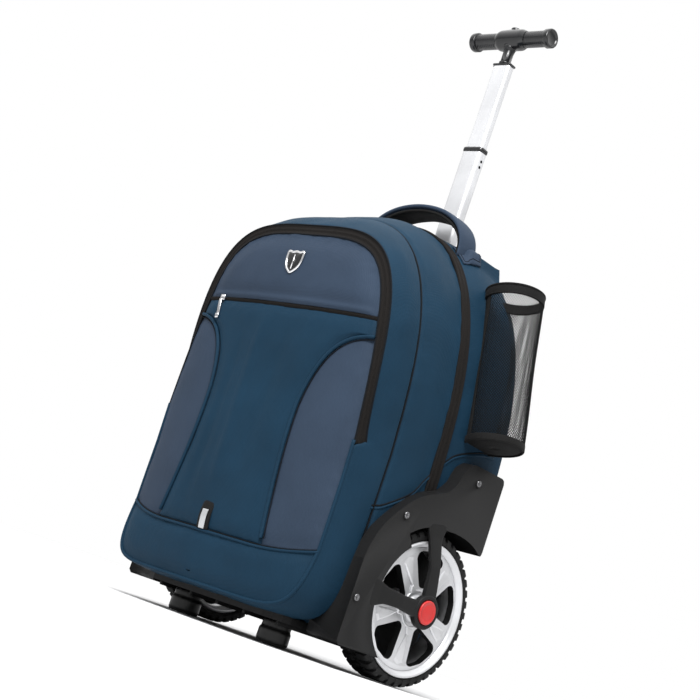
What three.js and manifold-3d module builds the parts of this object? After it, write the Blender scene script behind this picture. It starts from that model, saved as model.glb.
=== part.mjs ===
// Wheeled backpack: a hollow sewn bag on a moulded base with two large wheels, two feet and a telescopic
// handle. Millimetres, +Z up. The front panel faces -Y and the worn side +Y. While it is built, the floor
// is z = 0 and the wheels turn about y = 0; the last lines move the origin to the middle of the footprint.
import * as THREE from "three";
import { mergeVertices } from "three/addons/utils/BufferGeometryUtils.js";
import Module from "manifold-3d";

const wasm = await Module();
wasm.setup();

// Walls and clearances
const gap = 0.3;
const simplifyWithin = 0.02;
const cloth = 2;
const plastic = 2.5;

// Wheels, which stand partly under the bag's sides
const bagHalfWidth = 171;
const wheelRadius = 90.6;
const wheelWidth = 42;
const wheelInset = 32;
const wheelInside = bagHalfWidth - wheelInset;
const tyreDepth = 12.6;
const tyreSeat = wheelRadius - tyreDepth;
const rimDepth = 6;
const hubRadius = 17;
const axleRadius = 6;
const axleClearance = 0.4;
const spokeCount = 5;
const lugCount = 28;
const lugDepth = 3.5;

// Bag, from the floor and from the wheel axis
const bagBottom = 36;
const bagHeight = 507;
const waistHeight = 204;
const bagFront = -190;
const bagDepth = 285;
const wellDepth = 41;
const innerHalfWidth = bagHalfWidth - wellDepth;
const shoulderHalfWidth = bagHalfWidth - 79;
const shoulderFront = -6;
const shoulderBack = 57;
const shoulderDrop = 12;
const shoulderDepth = 60;

// Front zip and front panels
const frontZipWidth = 13;
const frontZipFoot = bagBottom + 0.398 * bagHeight;
const panelCrown = 23;
const faceEdgeDrop = 4;
const topPanelFoot = bagBottom + 0.68 * bagHeight;
const pocketZipWidth = 5;
const sidePanelTop = topPanelFoot - 25;
const sidePanelInset = 76;
const lowerPanelTop = 98;
const badgeWidth = 30;
const badgeHeight = 24;
const badgeZ = topPanelFoot + 48;
const tagWidth = 20;
const tagHeight = 35;

// Main zip
const mainZipWidth = 18;
const mainZipFoot = bagBottom + 0.333 * bagHeight;

// Bottle pockets
const pocketRadius = 36;
const pocketHeight = 196;
const pocketFootX = bagHalfWidth + 20;
const pocketFootZ = bagBottom + 0.521 * bagHeight;
const pocketY = 30;
const pocketLean = 12;
const pocketWall = 1.6;
const pocketRimHeight = 12;

// Carry handle, back pad and shoulder straps
const handleSpan = 166;
const handleRise = 41;
const handleWidth = 36;
const handleThick = 12;
const handleY = -7;
const padHalfWidth = 0.69 * bagHalfWidth;
const padFoot = bagBottom + 0.353 * bagHeight;
const padTop = bagBottom + 0.911 * bagHeight;
const padThick = 12;
const strapWidth = 58;
const strapThick = 10;

// Base, feet and wheel guards
const baseThick = 8;
const baseHalfWidth = innerHalfWidth - 8;
const baseFront = -152;
const baseBack = 88;
const footRadius = 19;
const footX = 80;
const footY = -105;
const archClearance = 6;
const guardOutside = wheelInside + wheelWidth + 6;
const guardFront = -1.313 * wheelRadius;
const guardBack = 0.828 * wheelRadius;
const guardFoot = 25;
const guardTop = 3 * wheelRadius;
const mudguardFoot = 1.9 * wheelRadius;
const flangeInside = bagHalfWidth - 9;
const carrierOutside = guardOutside + 10;
const carrierRadius = 20;
const hubCapRadius = 14;
const screwRadius = 5;

// Telescopic handle
const poleY = 39;
const outerTube = { width: 38, depth: 22, wall: 2.3 };
const outerTubeTop = bagBottom + bagHeight + 5;
const lowerTubeReach = 138;
const upperTubeReach = 128;
const lowerTubeTop = outerTubeTop + lowerTubeReach;
const upperTubeTop = lowerTubeTop + upperTubeReach;
const lowerTubeLength = 440;
const upperTubeLength = 430;
const tubeWall = 1.3;
const tubeClearance = 0.6;
const collarHeight = 6;
const capHeight = 3;
const gripZ = upperTubeTop + 40;
const gripLength = 134;
const gripRadius = 11;
const gripCapRadius = 13;
const gripCapLength = 9;
const stemRadius = 7.5;
const clampLength = 46;
const clampRadius = 14.5;
const buttonRadius = 7;
const buttonTravel = 3;

const bagTop = bagBottom + bagHeight;
const waistZ = bagBottom + waistHeight;
const wheelOutside = wheelInside + wheelWidth;
const ringPoints = 32;
const roundSides = 24;

// Materials
function paint(color, roughness, metalness = 0) {
  return new THREE.MeshStandardMaterial({ color, roughness, metalness });
}
const paints = {
  navy: paint(0x1e425c, 0.85),
  slate: paint(0x4b5a72, 0.8),
  black: paint(0x2b2a29, 0.8),
  net: paint(0x1c1c1d, 0.9),
  plastic: paint(0x2e2e2f, 0.55),
  rubber: paint(0x1f1f20, 0.9),
  rim: paint(0xc4c6ca, 0.3, 0.8),
  red: paint(0xd63a3a, 0.4),
  metal: paint(0xd5d7da, 0.25, 0.9),
  gloss: paint(0x242628, 0.25, 0.2),
};

const model = new THREE.Group();

function add(name, geometry, material, parent = model) {
  const mesh = new THREE.Mesh(geometry, material);
  mesh.name = name;
  parent.add(mesh);
  return mesh;
}

// Solids: a geometry becomes a solid for a cut or a join, and comes back as a geometry
function solid(geometry) {
  const bare = geometry.clone();
  bare.deleteAttribute("normal");
  bare.deleteAttribute("uv");
  const merged = mergeVertices(bare, 1e-4);
  const mesh = new wasm.Mesh({
    numProp: 3,
    vertProperties: new Float32Array(merged.attributes.position.array),
    triVerts: new Uint32Array(merged.index.array),
  });
  return new wasm.Manifold(mesh);
}

function shapeOf(body) {
  const mesh = body.simplify(simplifyWithin).getMesh();
  const geometry = new THREE.BufferGeometry();
  geometry.setAttribute("position", new THREE.BufferAttribute(new Float32Array(mesh.vertProperties), 3));
  geometry.setIndex(new THREE.BufferAttribute(new Uint32Array(mesh.triVerts), 1));
  geometry.computeVertexNormals();
  return geometry;
}

function mirrored(geometry) {
  const copy = geometry.index ? geometry.toNonIndexed() : geometry.clone();
  copy.scale(-1, 1, 1);
  const p = copy.attributes.position;
  for (let i = 0; i < p.count; i += 3) {
    const b = new THREE.Vector3().fromBufferAttribute(p, i + 1);
    const c = new THREE.Vector3().fromBufferAttribute(p, i + 2);
    p.setXYZ(i + 1, c.x, c.y, c.z);
    p.setXYZ(i + 2, b.x, b.y, b.z);
  }
  copy.deleteAttribute("normal");
  copy.deleteAttribute("uv");
  return mergeVertices(copy, 1e-4);
}

// Both sides of the bag: the right side is made, and the left is its mirror image
function addPair(name, geometry, material) {
  add(`${name}_right`, geometry, material);
  add(`${name}_left`, mirrored(geometry), material);
}

// Surfaces through rings of equal count. A tube closes on itself; a loft is capped at both ends.
function surface(rings, { closedLoop = false, caps = false } = {}) {
  const count = rings[0].length;
  const position = [];
  const index = [];
  for (const ring of rings) for (const p of ring) position.push(p.x, p.y, p.z);
  const bands = closedLoop ? rings.length : rings.length - 1;
  for (let i = 0; i < bands; i++) {
    const next = (i + 1) % rings.length;
    const a = i * count;
    const b = next * count;
    for (let j = 0; j < count; j++) {
      const k = (j + 1) % count;
      // Each four-sided face is split along its shorter diagonal, so two parallel surfaces stay parallel
      const straight = rings[i][j].distanceTo(rings[next][k]) <= rings[i][k].distanceTo(rings[next][j]);
      if (straight) index.push(a + j, a + k, b + k, a + j, b + k, b + j);
      else index.push(a + j, a + k, b + j, a + k, b + k, b + j);
    }
  }
  if (caps) {
    for (const [i, forward] of [[0, false], [rings.length - 1, true]]) {
      const centre = rings[i].reduce((sum, p) => sum.add(p), new THREE.Vector3()).divideScalar(count);
      const hub = position.length / 3;
      position.push(centre.x, centre.y, centre.z);
      for (let j = 0; j < count; j++) {
        const k = (j + 1) % count;
        if (forward) index.push(hub, i * count + j, i * count + k);
        else index.push(hub, i * count + k, i * count + j);
      }
    }
  }
  const geometry = new THREE.BufferGeometry();
  geometry.setAttribute("position", new THREE.Float32BufferAttribute(position, 3));
  geometry.setIndex(index);
  return outward(geometry);
}

function outward(geometry) {
  const p = geometry.attributes.position;
  const index = geometry.index.array;
  const [a, b, c] = [new THREE.Vector3(), new THREE.Vector3(), new THREE.Vector3()];
  let volume = 0;
  for (let i = 0; i < index.length; i += 3) {
    a.fromBufferAttribute(p, index[i]);
    b.fromBufferAttribute(p, index[i + 1]);
    c.fromBufferAttribute(p, index[i + 2]);
    volume += a.dot(b.cross(c));
  }
  if (volume < 0) {
    for (let i = 0; i < index.length; i += 3) {
      [index[i + 1], index[i + 2]] = [index[i + 2], index[i + 1]];
    }
  }
  geometry.computeVertexNormals();
  return geometry;
}

// Rings moved inward along the surface's own normal, which gives a wall its thickness
function insetRings(rings, distance) {
  const count = rings[0].length;
  return rings.map((ring, i) => ring.map((p, j) => {
    const ahead = rings[Math.min(i + 1, rings.length - 1)][j];
    const behind = rings[Math.max(i - 1, 0)][j];
    const along = ahead.clone().sub(behind);
    const around = ring[(j + 1) % count].clone().sub(ring[(j + count - 1) % count]);
    const normal = along.cross(around).normalize();
    const out = new THREE.Vector3(p.x, 0, p.z - waistZ);
    if (normal.dot(out) < 0) normal.negate();
    return p.clone().addScaledVector(normal, -distance);
  }));
}

function shifted(ring, dy) {
  return ring.map((p) => new THREE.Vector3(p.x, p.y + dy, p.z));
}

function extruded(shape, depth) {
  return new THREE.ExtrudeGeometry(shape, { depth, bevelEnabled: false, curveSegments: 6 });
}

function extrudeX(shape, from, to) {
  const geometry = extruded(shape, to - from);
  // The shape's x and y become y and z, and its depth becomes x
  geometry.applyMatrix4(new THREE.Matrix4().makeBasis(
    new THREE.Vector3(0, 1, 0), new THREE.Vector3(0, 0, 1), new THREE.Vector3(1, 0, 0)));
  geometry.translate(from, 0, 0);
  return geometry;
}

function extrudeY(shape, from, to) {
  const geometry = extruded(shape, to - from);
  // The shape's x and y become x and z, and its depth becomes -y
  geometry.rotateX(Math.PI / 2);
  geometry.translate(0, to, 0);
  return geometry;
}

function boxBetween(low, high) {
  const size = high.map((v, i) => v - low[i]);
  const geometry = new THREE.BoxGeometry(...size);
  geometry.translate(...low.map((v, i) => v + size[i] / 2));
  return geometry;
}

function drumX(radius, from, to, sides = roundSides) {
  const geometry = new THREE.CylinderGeometry(radius, radius, to - from, sides);
  geometry.rotateZ(-Math.PI / 2);
  geometry.translate((from + to) / 2, 0, 0);
  return geometry;
}

function drumXAt(radius, from, to, y, z, sides = roundSides) {
  return drumX(radius, from, to, sides).translate(0, y, z);
}

function polygon(points) {
  return new THREE.Shape(points.map(([u, v]) => new THREE.Vector2(u, v)));
}

function roundedRect(width, height, radius, steps = 3) {
  const points = [];
  const corners = [[1, 1, 0], [-1, 1, 1], [-1, -1, 2], [1, -1, 3]];
  for (const [sx, sy, quarter] of corners) {
    for (let i = 0; i <= steps; i++) {
      const angle = (quarter + i / steps) * Math.PI / 2;
      points.push([
        sx * (width / 2 - radius) + radius * Math.cos(angle),
        sy * (height / 2 - radius) + radius * Math.sin(angle),
      ]);
    }
  }
  return points;
}

// The bag's outline in front view at a station: nearly square below the waist and round above it.
// Widths are shares of the half width, tops of the height, and depths of the depth behind the front.
const stations = {
  zipRear: { width: 0.965, top: 0.877, roundness: 3.8, low: 0.07, middle: 0.14, high: 0.025, bend: 0.6 },
  frontSwell: { width: 0.99, top: 0.914, roundness: 3.3, low: 0.16, middle: 0.2, high: 0.112, bend: 1 },
  seam: { width: 1, top: 0.946, roundness: 2.8, low: 0.274, middle: 0.274, high: 0.215, bend: 1 },
  mainSwell: { width: 0.997, top: 0.98, roundness: 2.6, low: 0.4, middle: 0.4, high: 0.36, bend: 1 },
  mainZip: { width: 0.982, top: 0.998, roundness: 2.4, low: 0.566, middle: 0.566, high: 0.54, bend: 1 },
  rearSwell: { width: 0.985, top: 1, roundness: 2.6, low: 0.78, middle: 0.78, high: 0.73, bend: 1 },
  backEdge: { width: 0.955, top: 0.985, roundness: 2.7, low: 0.975, middle: 0.98, high: 0.872, bend: 1.5 },
};
const lowRoundness = 8;

function depthAt(station, z) {
  const top = bagBottom + station.top * bagHeight;
  if (z > waistZ) {
    const share = Math.min((z - waistZ) / (top - waistZ), 1);
    return station.middle + (station.high - station.middle) * share ** station.bend;
  }
  return station.middle + (station.low - station.middle) * (waistZ - z) / waistHeight;
}

function stationRing(station, dy = 0) {
  const ring = [];
  for (let i = 0; i < ringPoints; i++) {
    const angle = (i + 0.5) * 2 * Math.PI / ringPoints;
    const c = Math.cos(angle);
    const s = Math.sin(angle);
    const power = 2 / (s > 0 ? station.roundness : lowRoundness);
    const reach = s > 0 ? station.top * bagHeight - waistHeight : waistHeight;
    const x = station.width * bagHalfWidth * Math.sign(c) * Math.abs(c) ** power;
    const z = waistZ + reach * Math.sign(s) * Math.abs(s) ** power;
    ring.push(new THREE.Vector3(x, bagFront + depthAt(station, z) * bagDepth + dy, z));
  }
  return ring;
}

// Front face: crowned from side to side, by shares of the crown at shares of the height, and turned over at
// its edge
const crownTable = [
  { up: 0, crown: 0.6 },
  { up: 0.15, crown: 1.05 },
  { up: 0.3, crown: 1 },
  { up: 0.55, crown: 0.7 },
  { up: 0.8, crown: 0.35 },
  { up: 1, crown: 0.3 },
];

function crownAt(z) {
  const up = THREE.MathUtils.clamp((z - bagBottom) / bagHeight, 0, 1);
  const next = Math.max(crownTable.findIndex((row) => row.up >= up), 1);
  const [a, b] = [crownTable[next - 1], crownTable[next]];
  return panelCrown * THREE.MathUtils.lerp(a.crown, b.crown, (up - a.up) / (b.up - a.up));
}

function faceY(x, z, edgeShare = 0) {
  return bagFront + crownAt(z) * (x / bagHalfWidth) ** 2 + faceEdgeDrop * edgeShare ** 8;
}

// The outer edge of the front panels: inside the zip's outer edge by the zip's width, which runs out at
// its foot
function zipInset(z) {
  const share = THREE.MathUtils.clamp((z - waistZ) / (topPanelFoot - waistZ), 0, 1);
  return 2 + (frontZipWidth - 2) * share;
}

function insetOutline(ring, distanceAt) {
  const count = ring.length;
  return ring.map((p, i) => {
    const a = ring[(i + count - 1) % count];
    const b = ring[(i + 1) % count];
    const tangent = new THREE.Vector2(b.x - a.x, b.z - a.z).normalize();
    const distance = distanceAt(p.z);
    return { x: p.x - tangent.y * distance, z: p.z + tangent.x * distance };
  });
}

function faceRing(distanceAt, extra = 0) {
  return insetOutline(stationRing(stations.zipRear), distanceAt)
    .map(({ x, z }) => new THREE.Vector3(x, faceY(x, z, 1) + extra, z));
}

const zipFront = faceRing(zipInset);

// A sheet over the front face, from its middle out to an outline
function frontSheet(outline, frontAt, thickness, shares) {
  const front = shares.map((share) => outline.map((p) => {
    const x = p.x * share;
    const z = waistZ + (p.z - waistZ) * share;
    return new THREE.Vector3(x, frontAt(x, z, share, p), z);
  }));
  const back = front.map((ring) => shifted(ring, thickness)).reverse();
  return surface([...front, ...back], { caps: true });
}

// Front panels, cut from one crowned sheet along the seams that show
const panelOutline = faceRing((z) => zipInset(z) + cloth + gap);
const panelSheet = solid(frontSheet(
  panelOutline, (x, z, share) => faceY(x, z, share), cloth, [0.55, 0.85, 1]));
const seamGap = 0.6;

function sidePanelRegion(side, grow) {
  // The curved edge, from the seam near the zip round and down to the lower panel
  const reach = 40;
  const top = sidePanelTop + grow;
  const inner = sidePanelInset - grow;
  const height = sidePanelTop - lowerPanelTop;
  const waist = sidePanelTop - 0.364 * height;
  const shape = new THREE.Shape();
  shape.moveTo(side * (bagHalfWidth + reach), top);
  shape.lineTo(side * 0.877 * bagHalfWidth, top);
  shape.bezierCurveTo(
    side * 0.655 * bagHalfWidth, top - 4, side * (inner + 8), top - 0.1 * height, side * inner, waist);
  shape.bezierCurveTo(side * (inner - 2), waist - 0.2 * height, side * (inner + 6), waist - 0.434 * height,
    side * (inner + 22), lowerPanelTop - reach);
  shape.lineTo(side * (bagHalfWidth + reach), lowerPanelTop - reach);
  return shape;
}

function lowerPanelRegion(grow) {
  // The lower panel's seam is level in the middle and rises towards both sides
  const reach = bagHalfWidth + 40;
  const level = lowerPanelTop + grow;
  const ends = level + 34;
  const [straight, bend, turn] = [0.35, 0.585, 0.825].map((share) => share * bagHalfWidth);
  const shape = new THREE.Shape();
  shape.moveTo(-reach, -10);
  shape.lineTo(reach, -10);
  shape.lineTo(reach, ends);
  shape.bezierCurveTo(turn, level, bend, level, straight, level);
  shape.lineTo(-straight, level);
  shape.bezierCurveTo(-bend, level, -turn, level, -reach, ends);
  return shape;
}

function frontPrism(shape) {
  return solid(extrudeY(shape, bagFront - 20, bagFront + 80));
}

const aboveZip = solid(boxBetween([-250, bagFront - 20, topPanelFoot], [250, bagFront + 80, bagTop]));
const belowZip = solid(boxBetween(
  [-250, bagFront - 20, 0], [250, bagFront + 80, topPanelFoot - pocketZipWidth - 2 * gap]));
const lowerCut = frontPrism(lowerPanelRegion(0));
const lowerClear = frontPrism(lowerPanelRegion(seamGap));
const sides = { right: 1, left: -1 };

add("front_top_panel", shapeOf(panelSheet.intersect(aboveZip)), paints.slate);
add("front_lower_panel", shapeOf(panelSheet.intersect(lowerCut)), paints.navy);
let centerPanel = panelSheet.intersect(belowZip).subtract(lowerClear);
for (const [side, sign] of Object.entries(sides)) {
  const panel = panelSheet.intersect(frontPrism(sidePanelRegion(sign, 0))).subtract(lowerClear);
  add(`front_side_panel_${side}`, shapeOf(panel), paints.slate);
  centerPanel = centerPanel.subtract(frontPrism(sidePanelRegion(sign, seamGap)));
}
add("front_center_panel", shapeOf(centerPanel), paints.navy);

// Where a small piece on the front panels rests: the foremost point of the sheet behind its outline
function seatY(x, width, foot, height) {
  const outline = solid(boxBetween(
    [x - width / 2, bagFront - 50, foot], [x + width / 2, 0, foot + height]));
  return panelSheet.intersect(outline).boundingBox().min[1] - gap;
}

// The level zip under the top panel, and its pull
const zipSlot = solid(boxBetween(
  [-250, bagFront - 20, topPanelFoot - pocketZipWidth - gap], [250, bagFront + 80, topPanelFoot - gap]));
add("front_pocket_zip", shapeOf(panelSheet.intersect(zipSlot)), paints.black);

const pullX = -112;
const pullWidth = 8;
const pullLength = 26;
const pullFoot = topPanelFoot - 3 - pullLength;
add("front_zip_pull", boxBetween([-pullWidth / 2, -3, 0], [pullWidth / 2, 0, pullLength]), paints.metal)
  .position.set(pullX, seatY(pullX, pullWidth, pullFoot, pullLength), pullFoot);

// The pocket's back wall: a plain sheet that meets the panels at their edge
const wallMiddle = bagFront + 32;
add("front_pocket", frontSheet(
  panelOutline,
  (x, z, share, edge) => THREE.MathUtils.lerp(wallMiddle, edge.y + cloth + gap, share),
  cloth, [0.55, 1]), paints.navy);

// Badge and webbing tag on the front
const badgePoints = roundedRect(badgeWidth, badgeHeight, 6);
add("badge", extrudeY(polygon(badgePoints), -2, 0), paints.metal)
  .position.set(0, seatY(0, badgeWidth, badgeZ - badgeHeight / 2, badgeHeight), badgeZ);
add("tag_loop", boxBetween([-tagWidth / 2, -3, 0], [tagWidth / 2, 0, tagHeight]), paints.black)
  .position.set(0, seatY(0, tagWidth, lowerPanelTop, tagHeight), lowerPanelTop);

// Main compartment: one hollow form from the seam to the back, at any inset from its outside
const seamRing = stationRing(stations.seam);
const halfZip = mainZipWidth / 2;
const backRing = stationRing(stations.backEdge);
const backInset = insetOutline(backRing, () => 9)
  .map(({ x, z }, i) => new THREE.Vector3(x, backRing[i].y + 4, z));
const mainRings = [
  shifted(seamRing, gap),
  stationRing(stations.mainSwell),
  stationRing(stations.mainZip, -halfZip),
  stationRing(stations.mainZip, halfZip),
  stationRing(stations.rearSwell),
  backRing,
  backInset,
];

function mainForm(inset) {
  const rings = insetRings(mainRings.slice(0, -1), inset);
  const last = insetOutline(mainRings.at(-1), () => inset)
    .map(({ x, z }, i) => new THREE.Vector3(x, mainRings.at(-1)[i].y - inset, z));
  rings[0] = shifted(rings[0], inset);
  return solid(surface([...rings, last], { caps: true })).add(shoulders(inset));
}

// The squared shoulders behind the carry handle, which stand above the round top at its sides
function shoulders(inset) {
  const top = bagTop - shoulderDrop - inset;
  return solid(boxBetween(
    [inset - shoulderHalfWidth, shoulderFront + inset, top - shoulderDepth],
    [shoulderHalfWidth - inset, shoulderBack - inset, top]));
}
const bagForm = mainForm(-gap);

// Front compartment: a gusset sleeve from the panels' edge back to the seam, with its zip slot cut out
const sleeveRings = [zipFront, stationRing(stations.zipRear), stationRing(stations.frontSwell), seamRing];

function sleeve(rings, wall, proud = 0) {
  const outside = insetRings(rings, -proud);
  const inside = insetRings(rings, wall + proud).reverse();
  return surface([...outside, ...inside], { closedLoop: true });
}

function above(z) {
  return solid(boxBetween([-300, -300, z], [300, 300, bagTop + 100]));
}

function between(ringA, ringB, share) {
  return ringA.map((p, i) => p.clone().lerp(ringB[i], share));
}

// A zip between two rings, from its foot up and over the top: the slot through the wall and the band in it
function zipBetween(ringA, ringB, width, foot, overrun = 0) {
  const edge = gap / width;
  const slotRings = [-overrun, 0.5, 1].map((share) => between(ringA, ringB, share));
  const bandRings = [edge, 0.5, 1 - edge].map((share) => between(ringA, ringB, share));
  return {
    slot: solid(sleeve(slotRings, cloth, cloth)).intersect(above(foot - gap)),
    band: solid(sleeve(bandRings, cloth)).intersect(above(foot)),
  };
}

const frontZip = zipBetween(zipFront, sleeveRings[1], frontZipWidth, frontZipFoot, 0.3);
const gusset = solid(sleeve(sleeveRings, cloth)).subtract(frontZip.slot).subtract(frontZip.band);
add("front_compartment", shapeOf(gusset.subtract(bagForm)), paints.navy);
add("front_zip_band", shapeOf(frontZip.band), paints.black);

// Side zip pull: a small ring that hangs at the foot of the front zip on the left
const pullRing = { radius: 7, wire: 1.6 };
const sidePull = new THREE.TorusGeometry(pullRing.radius, pullRing.wire, 5, 10);
sidePull.rotateY(Math.PI / 2);
add("side_zip_pull", sidePull, paints.metal).position.set(
  -stations.frontSwell.width * bagHalfWidth - pullRing.wire - gap,
  bagFront + stations.frontSwell.middle * bagDepth - pullRing.radius, frontZipFoot + 4);

// Room for each wheel: round in front and above, and open behind and below
const archRadius = wheelRadius + archClearance;
function wheelSpaceShape(grow) {
  const radius = archRadius + grow;
  const shape = new THREE.Shape();
  shape.moveTo(-radius, -60);
  shape.lineTo(-radius, wheelRadius);
  shape.absarc(0, wheelRadius, radius, Math.PI, Math.PI / 2, true);
  shape.quadraticCurveTo(guardBack * 0.7, wheelRadius + radius + 4, guardBack, mudguardFoot + grow);
  shape.lineTo(guardBack + 70, mudguardFoot + grow);
  shape.lineTo(guardBack + 70, -60);
  return shape;
}

function wheelSpace(grow, from, to) {
  return solid(extrudeX(wheelSpaceShape(grow), from, to));
}

function bothWells(grow) {
  const right = extrudeX(wheelSpaceShape(plastic + gap + grow), innerHalfWidth - grow, bagHalfWidth + 60);
  return solid(right).add(solid(mirrored(right)));
}

// The telescopic handle's fixed tube stands inside the bag, through its floor and its top
function tubeGeometry(width, depth, from, to) {
  const geometry = new THREE.ExtrudeGeometry(
    polygon(roundedRect(width, depth, Math.min(width, depth) * 0.32)),
    { depth: to - from, bevelEnabled: false });
  geometry.translate(0, poleY, from);
  return geometry;
}

const tubeHole = solid(tubeGeometry(outerTube.width + 2 * gap, outerTube.depth + 2 * gap, 0, bagTop + 100));
const mainZip = zipBetween(mainRings[2], mainRings[3], mainZipWidth, mainZipFoot);
const mainShell = mainForm(0).subtract(bothWells(0))
  .subtract(mainForm(cloth).subtract(bothWells(cloth)))
  .subtract(tubeHole)
  .subtract(mainZip.slot);
add("main_compartment", shapeOf(mainShell), paints.navy);

add("main_zip_band", shapeOf(mainZip.band), paints.black);

// Back pad and shoulder straps lie on the leaning back
function backY(z) {
  return bagFront + depthAt(stations.backEdge, z) * bagDepth + 4;
}

function backPad() {
  const middle = (padTop + padFoot) / 2;
  const points = roundedRect(2 * padHalfWidth, padTop - padFoot, 34, 4);
  const shares = [0.4, 0.75, 0.93, 1];
  const rise = [1, 1, 0.75, 0.25];
  const outer = shares.map((share, i) => points.map(([u, v]) => {
    const z = middle + v * share;
    return new THREE.Vector3(u * share, backY(z) + gap + padThick * rise[i], z);
  }));
  const inner = shares.map((share) => points.map(([u, v]) => {
    const z = middle + v * share;
    return new THREE.Vector3(u * share, backY(z) + gap, z);
  }));
  return surface([...outer, ...inner.reverse()], { caps: true });
}
add("back_pad", backPad(), paints.black);

// A strap's middle line, as shares of the pad's half width and height
const strapLine = [
  { out: 0.3, up: 0.98 },
  { out: 0.44, up: 0.8 },
  { out: 0.6, up: 0.58 },
  { out: 0.66, up: 0.36 },
  { out: 0.6, up: 0.14 },
];

function shoulderStrap() {
  const curve = new THREE.CatmullRomCurve3(strapLine.map(({ out, up }) => new THREE.Vector3(
    out * padHalfWidth, 0, padFoot + up * (padTop - padFoot))));
  const section = roundedRect(strapWidth, strapThick, strapThick * 0.4, 1);
  const steps = 10;
  const rings = [];
  for (let i = 0; i <= steps; i++) {
    const p = curve.getPoint(i / steps);
    const t = curve.getTangent(i / steps);
    const y = backY(p.z) + padThick + 2 * gap + strapThick / 2;
    rings.push(section.map(([u, v]) => {
      const z = p.z + t.x * u;
      return new THREE.Vector3(p.x - t.z * u, y + v + (backY(z) - backY(p.z)), z);
    }));
  }
  return surface(rings, { caps: true });
}
addPair("shoulder_strap", shoulderStrap(), paints.black);

// Carry handle: a padded arch along X in front of the telescopic handle, with flat sewn ends
function topZAt(x) {
  const { width, top, roundness } = stations.rearSwell;
  const share = Math.min(Math.abs(x) / (width * bagHalfWidth), 1);
  return waistZ + (top * bagHeight - waistHeight) * (1 - share ** roundness) ** (1 / roundness);
}

function carryHandle() {
  const section = roundedRect(handleWidth, handleThick, handleThick * 0.4, 1);
  const steps = 16;
  const half = handleSpan / 2;
  const foot = topZAt(half);
  const rise = topZAt(0) - foot + handleRise;
  const rings = [];
  for (let i = 0; i <= steps; i++) {
    const angle = Math.PI * i / steps;
    const x = -half * Math.cos(angle);
    const z = foot + rise * Math.sin(angle) ** 0.8 - handleThick / 2;
    const slope = Math.cos(angle) * (handleRise + 20) / half;
    const tangent = new THREE.Vector2(Math.sin(angle), slope).normalize();
    const share = 1 - 0.5 * Math.abs(Math.cos(angle)) ** 6;
    rings.push(section.map(([u, v]) => new THREE.Vector3(
      x - tangent.y * v * share, handleY + u, z + tangent.x * v * share)));
  }
  return surface(rings, { caps: true });
}
add("carry_handle", shapeOf(solid(carryHandle()).subtract(bagForm)), paints.slate);

const pocketSides = 16;

// Bottle pockets: a net cup with bound rim and foot, leaning in at the top beside the bag
function cup(outerRadius, innerRadius, from, to, floor) {
  const profile = [
    [0, from], [outerRadius, from], [outerRadius, to], [innerRadius, to], [innerRadius, from + floor],
    [0, from + floor],
  ].map(([r, z]) => new THREE.Vector2(r, z));
  return lathed(profile, pocketSides);
}

function ringOf(outerRadius, innerRadius, from, to) {
  const profile = [
    [outerRadius, from], [outerRadius, to], [innerRadius, to], [innerRadius, from], [outerRadius, from],
  ].map(([r, z]) => new THREE.Vector2(r, z));
  return lathed(profile, pocketSides);
}

function lathed(profile, sides) {
  const geometry = new THREE.LatheGeometry(profile, sides);
  geometry.rotateX(Math.PI / 2);
  geometry.deleteAttribute("normal");
  geometry.deleteAttribute("uv");
  return outward(withoutSlivers(mergeVertices(geometry, 1e-4)));
}

function withoutSlivers(geometry) {
  const kept = [];
  const index = geometry.index.array;
  for (let i = 0; i < index.length; i += 3) {
    const [a, b, c] = [index[i], index[i + 1], index[i + 2]];
    if (a !== b && b !== c && c !== a) kept.push(a, b, c);
  }
  geometry.setIndex(kept);
  return geometry;
}

function pocketPlace(geometry) {
  geometry.rotateY(-THREE.MathUtils.degToRad(pocketLean));
  geometry.translate(pocketFootX, pocketY, pocketFootZ);
  return shapeOf(solid(geometry).subtract(bagForm));
}

const netTop = pocketHeight - pocketRimHeight;
const netRadius = pocketRadius - pocketWall - gap;
const netInside = netRadius - pocketWall;
addPair("mesh_pocket", pocketPlace(cup(netRadius, netInside, 0, netTop, pocketWall)), paints.net);
addPair("mesh_pocket_rim", pocketPlace(
  ringOf(pocketRadius, netInside, netTop + gap, pocketHeight)), paints.black);
addPair("mesh_pocket_foot", pocketPlace(
  ringOf(pocketRadius, netRadius + gap, -2, pocketRimHeight)), paints.black);

// Base plate under the bag, with its two feet
const baseTop = bagBottom - gap;
function basePlate() {
  const width = 2 * baseHalfWidth;
  const length = baseBack - baseFront;
  const geometry = new THREE.ExtrudeGeometry(
    polygon(roundedRect(width, length, 24)), { depth: baseThick, bevelEnabled: false });
  geometry.translate(0, (baseFront + baseBack) / 2, baseTop - baseThick);
  return geometry;
}
add("base_plate", basePlate(), paints.plastic);

const footHeight = baseTop - baseThick - gap;
const footEdge = 5;
for (const [side, sign] of Object.entries(sides)) {
  const profile = [
    [0, 0], [footRadius - footEdge, 0], [footRadius - footEdge * 0.3, footEdge * 0.3],
    [footRadius, footEdge], [footRadius, footHeight], [0, footHeight],
  ].map(([r, z]) => new THREE.Vector2(r, z));
  add(`foot_${side}`, lathed(profile, 20), paints.rubber).position.set(sign * footX, footY, 0);
}

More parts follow.
